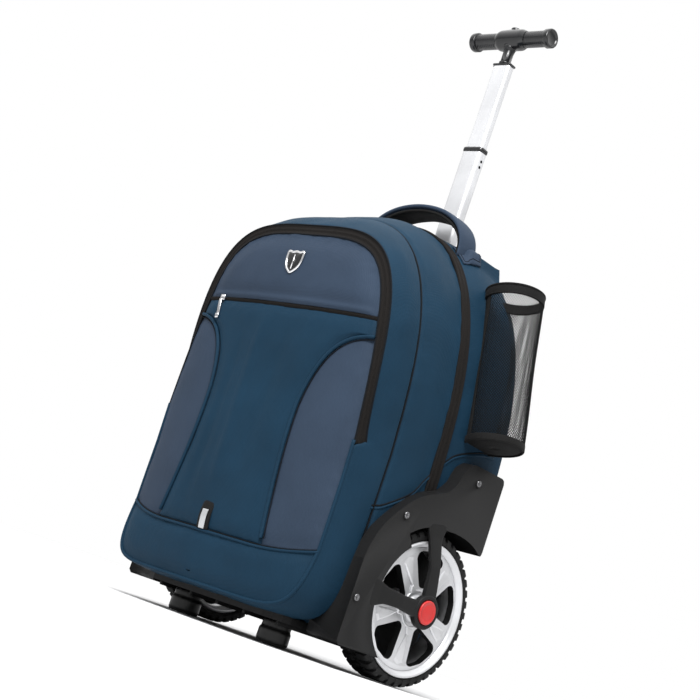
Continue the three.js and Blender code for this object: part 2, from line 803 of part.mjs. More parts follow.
// Wheel guards. The upper edge falls forward from a high rear corner and runs down to the bag's foot.
// Places along it are shares of the guard's length and height, from its rear foot.
const guardEdge = [
  { forward: 1, up: 0 },
  { forward: 1, up: 0.39 },
  { forward: 0.985, up: 0.46 },
  { forward: 0.945, up: 0.54 },
  { forward: 0.88, up: 0.615 },
  { forward: 0.805, up: 0.68 },
  { forward: 0.73, up: 0.732 },
  { forward: 0.65, up: 0.768 },
  { forward: 0.57, up: 0.795 },
  { forward: 0.49, up: 0.82 },
  { forward: 0.445, up: 0.85 },
  { forward: 0.415, up: 0.885 },
  { forward: 0.4, up: 0.925 },
  { forward: 0.375, up: 0.965 },
  { forward: 0.325, up: 0.996 },
  { forward: 0.28, up: 1 },
  { forward: 0.03, up: 1 },
  { forward: 0, up: 0.985 },
  { forward: 0, up: 0 },
];

function guardOutline(inset) {
  const length = guardBack - guardFront;
  const height = guardTop - guardFoot;
  const corners = guardEdge.map(({ forward, up }) => new THREE.Vector2(
    guardBack - forward * length, guardFoot + up * height));
  const count = corners.length;
  return corners.map((p, i) => {
    const before = p.clone().sub(corners[(i + count - 1) % count]).normalize();
    const after = corners[(i + 1) % count].clone().sub(p).normalize();
    const normal = new THREE.Vector2(before.y + after.y, -before.x - after.x).normalize();
    const stretch = 1 / Math.max(normal.dot(new THREE.Vector2(before.y, -before.x)), 0.5);
    return [p.x + normal.x * inset * stretch, p.y + normal.y * inset * stretch];
  });
}

const coverRadius = tyreSeat + 1.5;
function guardOpening() {
  // The plate covers the tyre in front and leaves it free above, behind and below
  const far = 300;
  const top = THREE.MathUtils.degToRad(114);
  const bottom = THREE.MathUtils.degToRad(238);
  const wedge = polygon([
    [0, wheelRadius],
    [far * Math.cos(bottom), wheelRadius + far * Math.sin(bottom)],
    [far, wheelRadius - far],
    [far, wheelRadius + far],
    [far * Math.cos(top), wheelRadius + far * Math.sin(top)],
  ]);
  const rear = solid(extrudeX(wedge, 0, guardOutside + 20)).intersect(wheelSpace(0, 0, guardOutside + 20));
  return rear.add(solid(drumXAt(coverRadius, 0, guardOutside + 20, 0, wheelRadius)));
}

// An arm from the guard's plate to the hub carrier: four corners at the plate and four at the carrier
function arm(plateEnd, carrierEnd) {
  const plateX = [guardOutside - plastic, guardOutside];
  const carrierX = [carrierOutside - 8, carrierOutside - 1];
  const section = (ends, [inside, outside]) => [
    new THREE.Vector3(inside, ...ends[0]), new THREE.Vector3(outside, ...ends[0]),
    new THREE.Vector3(outside, ...ends[1]), new THREE.Vector3(inside, ...ends[1]),
  ];
  return solid(surface([section(plateEnd, plateX), section(carrierEnd, carrierX)], { caps: true }));
}

function wheelHousing() {
  const plateInside = guardOutside - plastic;
  const tray = solid(extrudeX(polygon(guardOutline(0)), wheelInside, guardOutside))
    .subtract(solid(extrudeX(polygon(guardOutline(-plastic)), wheelInside - 1, plateInside)));
  const opened = tray.subtract(wheelSpace(0, wheelInside - 2, plateInside)).subtract(guardOpening());
  const lined = wheelSpace(plastic, innerHalfWidth + gap, plateInside + 0.5)
    .subtract(wheelSpace(0, innerHalfWidth + gap + plastic, guardOutside));
  const bounds = solid(extrudeX(polygon(guardOutline(0)), innerHalfWidth, guardOutside));
  const top = wheelRadius + archRadius;
  const upperArm = arm([[-14, top + 8], [2, top + 8]], [[-9, wheelRadius], [9, wheelRadius]]);
  const frontArm = arm([[-coverRadius - 6, wheelRadius - 8], [-coverRadius - 6, wheelRadius + 8]],
    [[0, wheelRadius - 9], [0, wheelRadius + 9]]);
  const carrier = solid(drumXAt(carrierRadius, carrierOutside - 9, carrierOutside, 0, wheelRadius, 20));
  const boss = solid(drumXAt(axleRadius + 6, innerHalfWidth + gap, wheelInside - 1.5, 0, wheelRadius, 16));
  const capSeat = solid(drumXAt(
    hubCapRadius + gap, carrierOutside - 2, carrierOutside + 5, 0, wheelRadius, 16));
  const bore = solid(drumXAt(
    axleRadius + gap, innerHalfWidth + plastic, carrierOutside - 3, 0, wheelRadius, 16));
  const underBag = solid(boxBetween([0, guardFront - 10, 0], [flangeInside, 0, bagBottom]));
  const moulding = opened.add(lined.intersect(bounds)).subtract(bagForm.subtract(bothWells(-gap)))
    .subtract(solid(mainFrontForm)).subtract(underBag);
  return moulding.add(upperArm).add(frontArm).add(carrier).add(boss).subtract(capSeat).subtract(bore);
}

// The front compartment's outer form, grown by the gap, which the guards must clear
const mainFrontForm = surface(insetRings(sleeveRings, -gap), { caps: true });
addPair("wheel_housing", shapeOf(wheelHousing()), paints.plastic);

// Axles run from the inner boss through the hub into the carrier, under the red caps
const axleFrom = innerHalfWidth + plastic + gap;
const axleTo = carrierOutside - 3 - gap;
addPair("axle", drumXAt(axleRadius, axleFrom, axleTo, 0, wheelRadius, 12), paints.metal);
const capFrom = carrierOutside - 2 + gap;
addPair("hub_cap", drumXAt(hubCapRadius, capFrom, carrierOutside + 1.5, 0, wheelRadius, 16), paints.red);

// Screws that hold the guards, as shares of the guard's length and height
const screwPlaces = [
  { name: "rear", forward: 0.235, up: 0.925 },
  { name: "middle", forward: 0.77, up: 0.645 },
  { name: "front", forward: 0.955, up: 0.22 },
];
for (const { name, forward, up } of screwPlaces) {
  const y = guardBack - forward * (guardBack - guardFront);
  const z = guardFoot + up * (guardTop - guardFoot);
  addPair(`guard_screw_${name}`,
    drumXAt(screwRadius, guardOutside + gap, guardOutside + gap + 1.8, y, z, 8), paints.metal);
}

// Wheels, each about its own centre. The tyre's shoulders are notched into lugs.
const halfWheel = wheelWidth / 2;
const tyreProfile = [
  { across: -0.88, radius: tyreSeat + gap, lug: 0 },
  { across: -1, radius: wheelRadius - 5, lug: 0.5 },
  { across: -0.6, radius: wheelRadius, lug: 0 },
  { across: 0.5, radius: wheelRadius, lug: 0 },
  { across: 0.9, radius: wheelRadius - 1.2, lug: 1 },
  { across: 1, radius: wheelRadius - 6, lug: 0 },
  { across: 0.88, radius: tyreSeat + gap, lug: 0 },
];

function tyre() {
  const steps = 2 * lugCount;
  const rings = [];
  for (let i = 0; i < steps; i++) {
    const angle = 2 * Math.PI * i / steps;
    rings.push(tyreProfile.map(({ across, radius, lug }) => {
      const r = radius - (i % 2) * lug * lugDepth;
      return new THREE.Vector3(across * halfWheel, r * Math.sin(angle), -r * Math.cos(angle));
    }));
  }
  return surface(rings, { closedLoop: true });
}

function rimWindow(middle) {
  // A window between two spokes: narrow at the hub, wide at the rim, with its corners taken off
  const corners = [
    { reach: 0.346, turn: -10 }, { reach: 0.795, turn: -23 }, { reach: 0.865, turn: -19 },
    { reach: 0.885, turn: 0 }, { reach: 0.865, turn: 19 }, { reach: 0.795, turn: 23 },
    { reach: 0.346, turn: 10 },
  ];
  return polygon(corners.map(({ reach, turn }) => {
    const angle = THREE.MathUtils.degToRad(middle + turn);
    return [reach * tyreSeat * Math.cos(angle), reach * tyreSeat * Math.sin(angle)];
  }));
}

function rim() {
  const profile = [
    [tyreSeat, -halfWheel * 0.88], [tyreSeat, halfWheel * 0.9], [tyreSeat - 1, halfWheel + 2],
    [tyreSeat - rimDepth + 1, halfWheel + 1], [tyreSeat - rimDepth - 1, halfWheel * 0.7],
    [tyreSeat - rimDepth, -halfWheel * 0.88], [tyreSeat, -halfWheel * 0.88],
  ].map(([r, x]) => new THREE.Vector2(r, x));
  const barrel = lathed(profile, 24);
  barrel.rotateY(Math.PI / 2);
  let wheel = solid(drumX(tyreSeat - rimDepth + 0.5, halfWheel * 0.45, halfWheel * 0.86, 24));
  for (let i = 0; i < spokeCount; i++) {
    const cut = extrudeX(rimWindow(-90 + (i + 0.5) * 360 / spokeCount), 0, halfWheel + 5);
    wheel = wheel.subtract(solid(cut));
  }
  const hub = solid(drumX(hubRadius, -halfWheel, halfWheel + 1, 16));
  const bore = solid(drumX(axleRadius + axleClearance, -halfWheel - 5, halfWheel + 5, 12));
  return shapeOf(solid(barrel).add(wheel).add(hub).subtract(bore));
}

const tyreShape = tyre();
const rimShape = rim();
for (const [side, sign] of Object.entries(sides)) {
  const wheel = new THREE.Group();
  wheel.position.set(sign * (wheelInside + halfWheel), 0, wheelRadius);
  model.add(wheel);
  add(`tyre_${side}`, sign > 0 ? tyreShape : mirrored(tyreShape), paints.rubber, wheel);
  add(`rim_${side}`, sign > 0 ? rimShape : mirrored(rimShape), paints.rim, wheel);
}

// Telescopic handle: three tubes, each of which fits in the one before it
function hollowTube(width, depth, wall, from, to) {
  return solid(tubeGeometry(width, depth, from, to))
    .subtract(solid(tubeGeometry(width - 2 * wall, depth - 2 * wall, from - 1, to + 1)));
}

const lowerWidth = outerTube.width - 2 * (outerTube.wall + tubeClearance);
const lowerDepth = outerTube.depth - 2 * (outerTube.wall + tubeClearance);
const upperWidth = lowerWidth - 2 * (tubeWall + tubeClearance);
const upperDepth = lowerDepth - 2 * (tubeWall + tubeClearance);
const flange = solid(tubeGeometry(outerTube.width + 8, outerTube.depth + 6, outerTubeTop - 3, outerTubeTop))
  .subtract(solid(tubeGeometry(
    outerTube.width - 2 * outerTube.wall, outerTube.depth - 2 * outerTube.wall,
    outerTubeTop - 9, outerTubeTop + 9)));
add("outer_tube", shapeOf(hollowTube(
  outerTube.width, outerTube.depth, outerTube.wall, bagBottom, outerTubeTop).add(flange)), paints.plastic);

const lockHoles = [12, 20];
let lowerTube = hollowTube(lowerWidth, lowerDepth, tubeWall, lowerTubeTop - lowerTubeLength, lowerTubeTop);
for (const below of lockHoles) {
  lowerTube = lowerTube.subtract(solid(drumXAt(2, 0, lowerWidth, poleY, lowerTubeTop - below, 10)));
}
add("lower_tube", shapeOf(lowerTube), paints.metal);
const lipWidth = 0.8;
const collarFoot = lowerTubeTop + gap;
add("lower_tube_collar", shapeOf(hollowTube(
  lowerWidth + 2 * lipWidth, lowerDepth + 2 * lipWidth, tubeWall + lipWidth,
  collarFoot, collarFoot + collarHeight)), paints.gloss);
add("upper_tube", shapeOf(hollowTube(
  upperWidth, upperDepth, tubeWall, upperTubeTop - upperTubeLength, upperTubeTop)), paints.metal);

const capFoot = upperTubeTop + gap;
add("upper_tube_cap", tubeGeometry(
  upperWidth + 2 * lipWidth, upperDepth + 2 * lipWidth, capFoot, capFoot + capHeight), paints.gloss);

// Grip: a clamp with its stem, a round bar through it, end caps and the release button on top
const stemFoot = capFoot + capHeight + gap;
const buttonSeat = clampRadius - 4;
function gripClamp() {
  const stem = new THREE.CylinderGeometry(stemRadius, stemRadius * 0.9, gripZ - stemFoot, 16);
  stem.rotateX(Math.PI / 2);
  stem.translate(0, poleY, (gripZ + stemFoot) / 2);
  const body = solid(drumXAt(clampRadius, -clampLength / 2, clampLength / 2, poleY, gripZ));
  const bore = solid(drumXAt(gripRadius + gap, -clampLength, clampLength, poleY, gripZ));
  return body.add(solid(stem)).subtract(bore).subtract(solid(buttonDrum(buttonRadius + gap, 0, 30)));
}

function buttonDrum(radius, from, to) {
  const drum = new THREE.CylinderGeometry(radius, radius, to - from, 16);
  drum.rotateX(Math.PI / 2);
  drum.translate(0, poleY, gripZ + (from + to) / 2);
  return drum;
}

const buttonFoot = gripRadius + gap;
const barEnd = gripLength / 2 - gripCapLength;
const bar = solid(drumXAt(gripRadius, -barEnd, barEnd, poleY, gripZ));
const buttonWell = solid(buttonDrum(buttonRadius + gap, gripRadius - buttonTravel - 1, 30));
add("grip_clamp", shapeOf(gripClamp()), paints.gloss);
add("grip_bar", shapeOf(bar.subtract(buttonWell)), paints.gloss);
for (const [side, sign] of Object.entries(sides)) {
  const cap = drumX(gripCapRadius, gap, gripCapLength, 24);
  add(`grip_cap_${side}`, sign > 0 ? cap : mirrored(cap), paints.gloss)
    .position.set(sign * barEnd, poleY, gripZ);
}
add("grip_button", buttonDrum(buttonRadius, buttonFoot, clampRadius + 2.5), paints.gloss);

// The origin moves to the middle of the footprint, at the floor
const box = new THREE.Box3().setFromObject(model);
model.position.set(-(box.min.x + box.max.x) / 2, -(box.min.y + box.max.y) / 2, -box.min.z);

export default model;
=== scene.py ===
# Looks for the wheeled backpack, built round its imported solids. Shapes are worked out in millimetres with the
# floor at z = 0 and the wheels turning about y = 0, and are put into the frame, in metres, by place().
import math

import bmesh
import bpy
import numpy as np
from mathutils import Matrix, Vector, noise
from mathutils.bvhtree import BVHTree


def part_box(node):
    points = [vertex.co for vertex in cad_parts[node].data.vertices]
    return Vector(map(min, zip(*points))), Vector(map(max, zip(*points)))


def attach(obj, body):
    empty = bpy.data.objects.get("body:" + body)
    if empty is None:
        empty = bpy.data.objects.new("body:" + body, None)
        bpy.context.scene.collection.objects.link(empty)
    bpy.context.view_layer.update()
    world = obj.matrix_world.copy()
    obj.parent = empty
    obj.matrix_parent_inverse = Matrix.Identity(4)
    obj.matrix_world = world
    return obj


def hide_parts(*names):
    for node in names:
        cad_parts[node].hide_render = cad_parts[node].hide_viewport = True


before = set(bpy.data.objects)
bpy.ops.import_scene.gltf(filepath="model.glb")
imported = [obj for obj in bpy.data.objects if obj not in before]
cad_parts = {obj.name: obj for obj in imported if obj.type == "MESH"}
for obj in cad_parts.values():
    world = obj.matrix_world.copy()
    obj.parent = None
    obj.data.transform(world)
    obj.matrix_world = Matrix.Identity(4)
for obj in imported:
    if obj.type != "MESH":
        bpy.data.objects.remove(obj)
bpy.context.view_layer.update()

MM = 0.001
axle_low, axle_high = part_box("axle_right")
AXLE_Y = (axle_low.y + axle_high.y) / 2

# Sizes shared by several pieces
HALF_WIDTH = 171
BAG_BOTTOM = 36
BAG_HEIGHT = 507
BAG_TOP = BAG_BOTTOM + BAG_HEIGHT
WAIST_HEIGHT = 204
WAIST_Z = BAG_BOTTOM + WAIST_HEIGHT
BAG_FRONT = -190
BAG_DEPTH = 285
LOW_ROUNDNESS = 8
FRONT_ZIP_FOOT = 237.8
MAIN_ZIP_FOOT = 204.8
TOP_PANEL_FOOT = 380.8
SIDE_PANEL_TOP = 355.8
LOWER_PANEL_TOP = 98
WHEEL_RADIUS = 90.6
WHEEL_MIDDLE = 160
RING = 400
SHARP_EDGE = math.radians(38)
SIDES = {"right": 1, "left": -1}


# Meshes

def place(points):
    """Millimetre points as frame coordinates in metres."""
    p = np.asarray(points, float).reshape(-1, 3) * MM
    p[:, 1] += AXLE_Y
    return p


def mesh_object(name, points, faces):
    """An object from millimetre points, with its faces turned outward."""
    mesh = bpy.data.meshes.new(name)
    mesh.from_pydata([tuple(v) for v in place(points)], [], [tuple(int(i) for i in f) for f in faces])
    bm = bmesh.new()
    bm.from_mesh(mesh)
    bmesh.ops.recalc_face_normals(bm, faces=bm.faces)
    bm.to_mesh(mesh)
    bm.free()
    mesh.update()
    obj = bpy.data.objects.new(name, mesh)
    bpy.context.collection.objects.link(obj)
    return obj


def coat(obj, material):
    obj.data.materials.clear()
    obj.data.materials.append(material)


def piece(name, points, faces, body, material, slot, replaces=(), smooth=True):
    obj = mesh_object(name, points, faces)
    if smooth:
        obj.data.shade_smooth()
    coat(obj, material)
    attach(obj, body)
    if replaces:
        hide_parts(*replaces)
    return obj


def unit(vectors):
    return vectors / np.maximum(np.linalg.norm(vectors, axis=-1, keepdims=True), 1e-9)


def angles(count):
    return np.arange(count) * 2 * math.pi / count


def signed_power(wave, exponent):
    """A sine or cosine to a power with its sign kept, for rounded squares."""
    return np.sign(wave) * np.abs(wave) ** exponent


def quadratic(p0, p1, p2, t):
    return (1 - t) ** 2 * p0 + 2 * t * (1 - t) * p1 + t * t * p2


def quads(rows, columns, closed, offset=0, flip=False):
    """Faces of a grid of rows and columns; closed joins the last column to the first."""
    faces = []
    last = columns if closed else columns - 1
    for i in range(rows - 1):
        for j in range(last):
            k = (j + 1) % columns
            face = (i * columns + j, i * columns + k, (i + 1) * columns + k, (i + 1) * columns + j)
            face = tuple(v + offset for v in face)
            faces.append(face[::-1] if flip else face)
    return faces


def grid_normals(grid, closed, outward):
    along = np.gradient(grid, axis=0)
    if closed:
        around = np.roll(grid, -1, 1) - np.roll(grid, 1, 1)
    else:
        around = np.gradient(grid, axis=1)
    normal = unit(np.cross(along, around))
    sign = np.sum(normal * outward(grid), axis=2, keepdims=True)
    return np.where(sign.mean() < 0, -normal, normal)


def shell_mesh(grid, thickness, closed, outward):
    """A grid given a thickness on its inner side, as points and faces of one closed body."""
    rows, columns, _ = grid.shape
    inner = grid - grid_normals(grid, closed, outward) * thickness
    count = rows * columns
    points = np.vstack([grid.reshape(-1, 3), inner.reshape(-1, 3)])
    faces = quads(rows, columns, closed) + quads(rows, columns, closed, count, True)
    last = columns if closed else columns - 1
    for row in (0, rows - 1):
        for j in range(last):
            a, b = row * columns + j, row * columns + (j + 1) % columns
            faces.append((a, b, count + b, count + a))
    if not closed:
        for column in (0, columns - 1):
            for i in range(rows - 1):
                a, b = i * columns + column, (i + 1) * columns + column
                faces.append((a, b, count + b, count + a))
    return points, faces


def capped(grid):
    """Rings joined into a closed body, with both ends filled."""
    rows, columns, _ = grid.shape
    faces = quads(rows, columns, True)
    faces.append(tuple(range(columns))[::-1])
    faces.append(tuple((rows - 1) * columns + j for j in range(columns)))
    return grid.reshape(-1, 3), faces


def looped(grid):
    """Rings joined into a closed loop."""
    rows, columns, _ = grid.shape
    count = rows * columns
    faces = [tuple(i % count for i in f) for f in quads(rows + 1, columns, True)]
    return grid.reshape(-1, 3), faces


def facing(*direction):
    """The outward side of a grid that looks one way."""
    return lambda grid: np.broadcast_to(direction, grid.shape)


front_side = facing(0.0, -1.0, 0.0)


def from_middle(grid):
    out = grid - [0.0, -40.0, WAIST_Z]
    out[..., 1] *= 0.05
    return out


def even(points, count, closed):
    """Points spaced evenly along a line."""
    p = np.asarray(points, float)
    if closed:
        p = np.vstack([p, p[:1]])
    step = np.concatenate([[0], np.cumsum(np.linalg.norm(np.diff(p, axis=0), axis=1))])
    at = np.linspace(0, step[-1], count, endpoint=not closed)
    return np.stack([np.interp(at, step, p[:, k]) for k in range(p.shape[1])], 1)


def smooth_line(points, count, closed=False):
    """A Catmull-Rom line through points, spaced evenly."""
    p = np.asarray(points, float)
    n = len(p)
    out = []
    spans = n if closed else n - 1
    for i in range(spans):
        a, b, c, d = (p[(i + k) % n] if closed else p[min(max(i + k, 0), n - 1)] for k in (-1, 0, 1, 2))
        for t in np.linspace(0, 1, 24, endpoint=False):
            out.append(0.5 * (2 * b + (c - a) * t + (2 * a - 5 * b + 4 * c - d) * t * t
                              + (3 * b - a - 3 * c + d) * t ** 3))
    if not closed:
        out.append(p[-1])
    return even(out, count, closed)


def tube_grid(line, section, closed=False, up=(0, 0, 1)):
    """Rings of a section (across, up) along a line; the section keeps its up side towards up."""
    p = np.asarray(line, float)
    if closed:
        tangent = np.roll(p, -1, 0) - np.roll(p, 1, 0)
    else:
        tangent = np.gradient(p, axis=0)
    tangent = unit(tangent)
    up = np.broadcast_to(np.asarray(up, float), p.shape)
    across = unit(np.cross(tangent, up))
    rise = np.cross(across, tangent)
    s = np.asarray(section, float)
    return p[:, None] + s[None, :, :1] * across[:, None] + s[None, :, 1:] * rise[:, None]


def circle(radius, sides=8):
    a = angles(sides)
    return np.stack([radius * np.cos(a), radius * np.sin(a)], 1)


def cord_mesh(line, radius, sides=8, closed=False, up=(0, 0, 1)):
    grid = tube_grid(line, circle(radius, sides), closed, up)
    return looped(grid) if closed else capped(grid)


def joined(parts):
    """Several (points, faces) as one."""
    points, faces, count = [], [], 0
    for p, f in parts:
        points.append(np.asarray(p, float).reshape(-1, 3))
        faces += [tuple(i + count for i in face) for face in f]
        count += len(points[-1])
    return np.vstack(points), faces


def mirror(part):
    points, faces = part
    return np.asarray(points, float).reshape(-1, 3) * [-1, 1, 1], [tuple(f)[::-1] for f in faces]


def sided(part, side):
    """A right-hand part, mirrored for the left side."""
    return part if side > 0 else mirror(part)


def ripple(p, size, seed=0.0):
    """Smooth noise at millimetre points, about -1 to 1."""
    flat = np.asarray(p, float).reshape(-1, 3) / size
    values = [noise.noise(Vector((a + seed, b - seed, c + 2 * seed))) for a, b, c in flat]
    return np.array(values).reshape(np.asarray(p).shape[:-1])


def ease(x, low, high):
    t = np.clip((np.asarray(x, float) - low) / (high - low), 0, 1)
    return t * t * (3 - 2 * t)


# Materials

def nodes_of(name):
    material = bpy.data.materials.new(name)
    material.use_nodes = True
    tree = material.node_tree
    shader = tree.nodes["Principled BSDF"]
    return material, tree, shader


def node(tree, kind, inputs=(), **settings):
    made = tree.nodes.new(kind)
    for key, value in settings.items():
        setattr(made, key, value)
    for key, value in dict(inputs).items():
        if isinstance(value, bpy.types.NodeSocket):
            tree.links.new(value, made.inputs[key])
        else:
            made.inputs[key].default_value = value
    return made


def shades(tree, factor, low, high, at=(0.35, 0.7)):
    ramp = tree.nodes.new("ShaderNodeValToRGB")
    ramp.color_ramp.elements[0].position = at[0]
    ramp.color_ramp.elements[0].color = (*low, 1)
    ramp.color_ramp.elements[1].position = at[1]
    ramp.color_ramp.elements[1].color = (*high, 1)
    tree.links.new(factor, ramp.inputs["Fac"])
    return ramp.outputs["Color"]


def scaled(color, share):
    return tuple(min(c * share, 1) for c in color)


def cloth(name, color, rough=0.8, sheen=0.25, period=1.3, weave=0.25, mottle=0.12, grain=0.25,
          tint=(1, 1, 1)):
    """Woven cloth: threads along all three axes, soft tone changes and a worn, uneven roughness."""
    material, tree, shader = nodes_of(name)
    place_at = node(tree, "ShaderNodeTexCoord").outputs["Object"]
    broad = node(tree, "ShaderNodeTexNoise", {"Vector": place_at, "Scale": 16, "Detail": 4})
    fine = node(tree, "ShaderNodeTexNoise", {"Vector": place_at, "Scale": 420, "Detail": 2})
    tone = node(tree, "ShaderNodeMath", {0: fine.outputs["Fac"], 1: grain}, operation="MULTIPLY")
    mix = node(tree, "ShaderNodeMath", {0: broad.outputs["Fac"], 1: tone.outputs[0]}, operation="ADD")
    base = shades(tree, mix.outputs[0], scaled(color, 1 - mottle), scaled(color, 1 + mottle), (0.4, 0.85))
    threads = None
    for axis in "XYZ":
        wave = node(tree, "ShaderNodeTexWave", {"Vector": place_at, "Scale": 0.314 / (period * MM)},
                    wave_type="BANDS", bands_direction=axis, wave_profile="SIN")
        level = wave.outputs["Fac"]
        threads = level if threads is None else node(
            tree, "ShaderNodeMath", {0: threads, 1: level}, operation="ADD").outputs[0]
    height = node(tree, "ShaderNodeMath", {0: threads, 1: fine.outputs["Fac"]}, operation="ADD")
    bump = node(tree, "ShaderNodeBump",
                {"Height": height.outputs[0], "Strength": weave, "Distance": 0.0004})
    rough_map = node(tree, "ShaderNodeMapRange", {
        "Value": broad.outputs["Fac"], "To Min": rough - 0.08, "To Max": rough + 0.08})
    tree.links.new(base, shader.inputs["Base Color"])
    tree.links.new(rough_map.outputs[0], shader.inputs["Roughness"])
    tree.links.new(bump.outputs[0], shader.inputs["Normal"])
    shader.inputs["Sheen Weight"].default_value = sheen
    shader.inputs["Sheen Roughness"].default_value = 0.5
    shader.inputs["Sheen Tint"].default_value = (*tint, 1)
    shader.inputs["Specular IOR Level"].default_value = 0.07
    return material


def moulded(name, color, rough=0.45, grain=900, bump_strength=0.15, metallic=0.0, coat=0.0, spread=0.06,
            specular=0.5, mottle=0.08):
    """Moulded plastic, rubber or metal: fine grain, slight tone and roughness changes."""
    material, tree, shader = nodes_of(name)
    place_at = node(tree, "ShaderNodeTexCoord").outputs["Object"]
    broad = node(tree, "ShaderNodeTexNoise", {"Vector": place_at, "Scale": 22, "Detail": 5})
    fine = node(tree, "ShaderNodeTexNoise", {"Vector": place_at, "Scale": grain, "Detail": 2})
    base = shades(tree, broad.outputs["Fac"], scaled(color, 1 - mottle), scaled(color, 1 + mottle))
    bump = node(tree, "ShaderNodeBump",
                {"Height": fine.outputs["Fac"], "Strength": bump_strength, "Distance": 0.0002})
    rough_map = node(tree, "ShaderNodeMapRange", {
        "Value": broad.outputs["Fac"], "To Min": max(rough - spread, 0.02), "To Max": rough + spread})
    tree.links.new(base, shader.inputs["Base Color"])
    tree.links.new(rough_map.outputs[0], shader.inputs["Roughness"])
    tree.links.new(bump.outputs[0], shader.inputs["Normal"])
    shader.inputs["Metallic"].default_value = metallic
    shader.inputs["Coat Weight"].default_value = coat
    shader.inputs["Coat Roughness"].default_value = 0.08
    shader.inputs["Specular IOR Level"].default_value = specular
    return material


NAVY = (0.0052, 0.0205, 0.039)
SLATE = (0.0205, 0.032, 0.052)
navy = cloth("navy_cloth", NAVY, rough=0.6, sheen=0.03, tint=(0.2, 0.55, 0.9))
slate = cloth("slate_cloth", SLATE, rough=0.6, sheen=0.03, period=1.0, tint=(0.45, 0.6, 0.9))
webbing = cloth("black_webbing", (0.0075, 0.0074, 0.0074), rough=0.75, sheen=0.015, period=1.6, weave=0.5)
zip_tape = cloth("zip_tape", (0.008, 0.007, 0.0065), rough=0.8, sheen=0.01, period=1.0, weave=0.35)
# Near-black cloth for edging, piping and seams, also used as painted shade: the front pocket's back wall, the
# pole's lock holes and the cords beside the curved lips.
edging_and_shade = cloth("dark_edging_and_shade", (0.004, 0.0047, 0.006), rough=0.7, sheen=0.01, period=1.2)
pad_mesh = cloth("black_pad_mesh", (0.013, 0.013, 0.0135), rough=0.8, sheen=0.05, period=2.0, weave=0.7)
net_yarn = cloth("black_net", (0.0065, 0.0065, 0.0066), rough=0.85, sheen=0.01, period=0.8)
chassis = moulded("black_plastic", (0.0068, 0.0068, 0.007), rough=0.52, bump_strength=0.3, specular=0.17)
foot_rubber = moulded("foot_rubber", (0.008, 0.008, 0.008), rough=0.34, bump_strength=0.1, specular=0.4)
tyre_rubber = moulded("tyre_rubber", (0.0065, 0.0065, 0.0067), rough=0.6, bump_strength=0.35, specular=0.18)
rim_paint = moulded("silver_rim", (0.56, 0.565, 0.58), rough=0.36, metallic=0.55, coat=0.2)
screw_steel = moulded("screw_steel", (0.16, 0.16, 0.165), rough=0.35, metallic=1, bump_strength=0.05)
red_plastic = moulded("red_cap", (0.4, 0.02, 0.019), rough=0.35, coat=0.1, specular=0.3)
steel = moulded("axle_steel", (0.5, 0.5, 0.52), rough=0.3, metallic=1)
bright = moulded("bright_metal", (0.7, 0.7, 0.71), rough=0.16, metallic=1, bump_strength=0.05)
aluminium = moulded("pole_aluminium", (0.62, 0.625, 0.64), rough=0.3, metallic=0.6, bump_strength=0.04)
gloss = moulded("grip_plastic", (0.006, 0.0063, 0.007), rough=0.22, coat=0.3, bump_strength=0.05,
                specular=0.35)

# The bag's outline in front view at each station, as shares of the sizes above

STATIONS = {
    "zip_rear": dict(width=0.965, top=0.877, roundness=3.8, low=0.07, middle=0.14, high=0.025, bend=0.6),
    "front_swell": dict(width=0.99, top=0.914, roundness=3.3, low=0.16, middle=0.2, high=0.112, bend=1),
    "seam": dict(width=1, top=0.946, roundness=2.8, low=0.274, middle=0.274, high=0.215, bend=1),
    "main_swell": dict(width=0.997, top=0.98, roundness=2.6, low=0.4, middle=0.4, high=0.36, bend=1),
    "main_zip": dict(width=0.982, top=0.998, roundness=2.4, low=0.566, middle=0.566, high=0.54, bend=1),
    "rear_swell": dict(width=0.985, top=1, roundness=2.6, low=0.78, middle=0.78, high=0.73, bend=1),
    "back_edge": dict(width=0.955, top=0.985, roundness=2.7, low=0.975, middle=0.98, high=0.872, bend=1.5),
}


def depth_at(station, z):
    top = BAG_BOTTOM + station["top"] * BAG_HEIGHT
    share = np.clip((z - WAIST_Z) / (top - WAIST_Z), 0, 1)
    upper = station["middle"] + (station["high"] - station["middle"]) * share ** station["bend"]
    lower = station["middle"] + (station["low"] - station["middle"]) * (WAIST_Z - z) / WAIST_HEIGHT
    return np.where(z > WAIST_Z, upper, lower)


def back_y(z):
    return BAG_FRONT + depth_at(STATIONS["back_edge"], z) * BAG_DEPTH + 4


def outline_of(station, count=RING):
    """The station's outline from its top round by +X, spaced evenly."""
    a = math.pi / 2 - (np.arange(8000) + 0.5) * 2 * math.pi / 8000
    c, s = np.cos(a), np.sin(a)
    power = np.where(s > 0, 2 / station["roundness"], 2 / LOW_ROUNDNESS)
    reach = np.where(s > 0, station["top"] * BAG_HEIGHT - WAIST_HEIGHT, WAIST_HEIGHT)
    x = station["width"] * HALF_WIDTH * signed_power(c, power)
    z = WAIST_Z + reach * signed_power(s, power)
    return even(np.stack([x, z], 1), count, True)


def ring_of(name, count=RING):
    station = STATIONS[name]
    xz = outline_of(station, count)
    y = BAG_FRONT + depth_at(station, xz[:, 1]) * BAG_DEPTH
    return np.stack([xz[:, 0], y, xz[:, 1]], 1)


def inset(xz, distance):
    """An outline moved inward by a distance, which may differ from point to point."""
    tangent = unit(np.roll(xz, -1, 0) - np.roll(xz, 1, 0))
    normal = np.stack([-tangent[:, 1], tangent[:, 0]], 1)
    inward = [0, WAIST_Z] - xz
    normal *= np.sign(np.sum(normal * inward, axis=1, keepdims=True))
    return xz + normal * np.asarray(distance, float).reshape(-1, 1)


CROWN_UP = [0, 0.15, 0.3, 0.55, 0.8, 1]
CROWN = [0.6, 1.05, 1, 0.7, 0.35, 0.3]


def zip_inset(z):
    return 2 + 11 * np.clip((z - WAIST_Z) / (TOP_PANEL_FOOT - WAIST_Z), 0, 1)


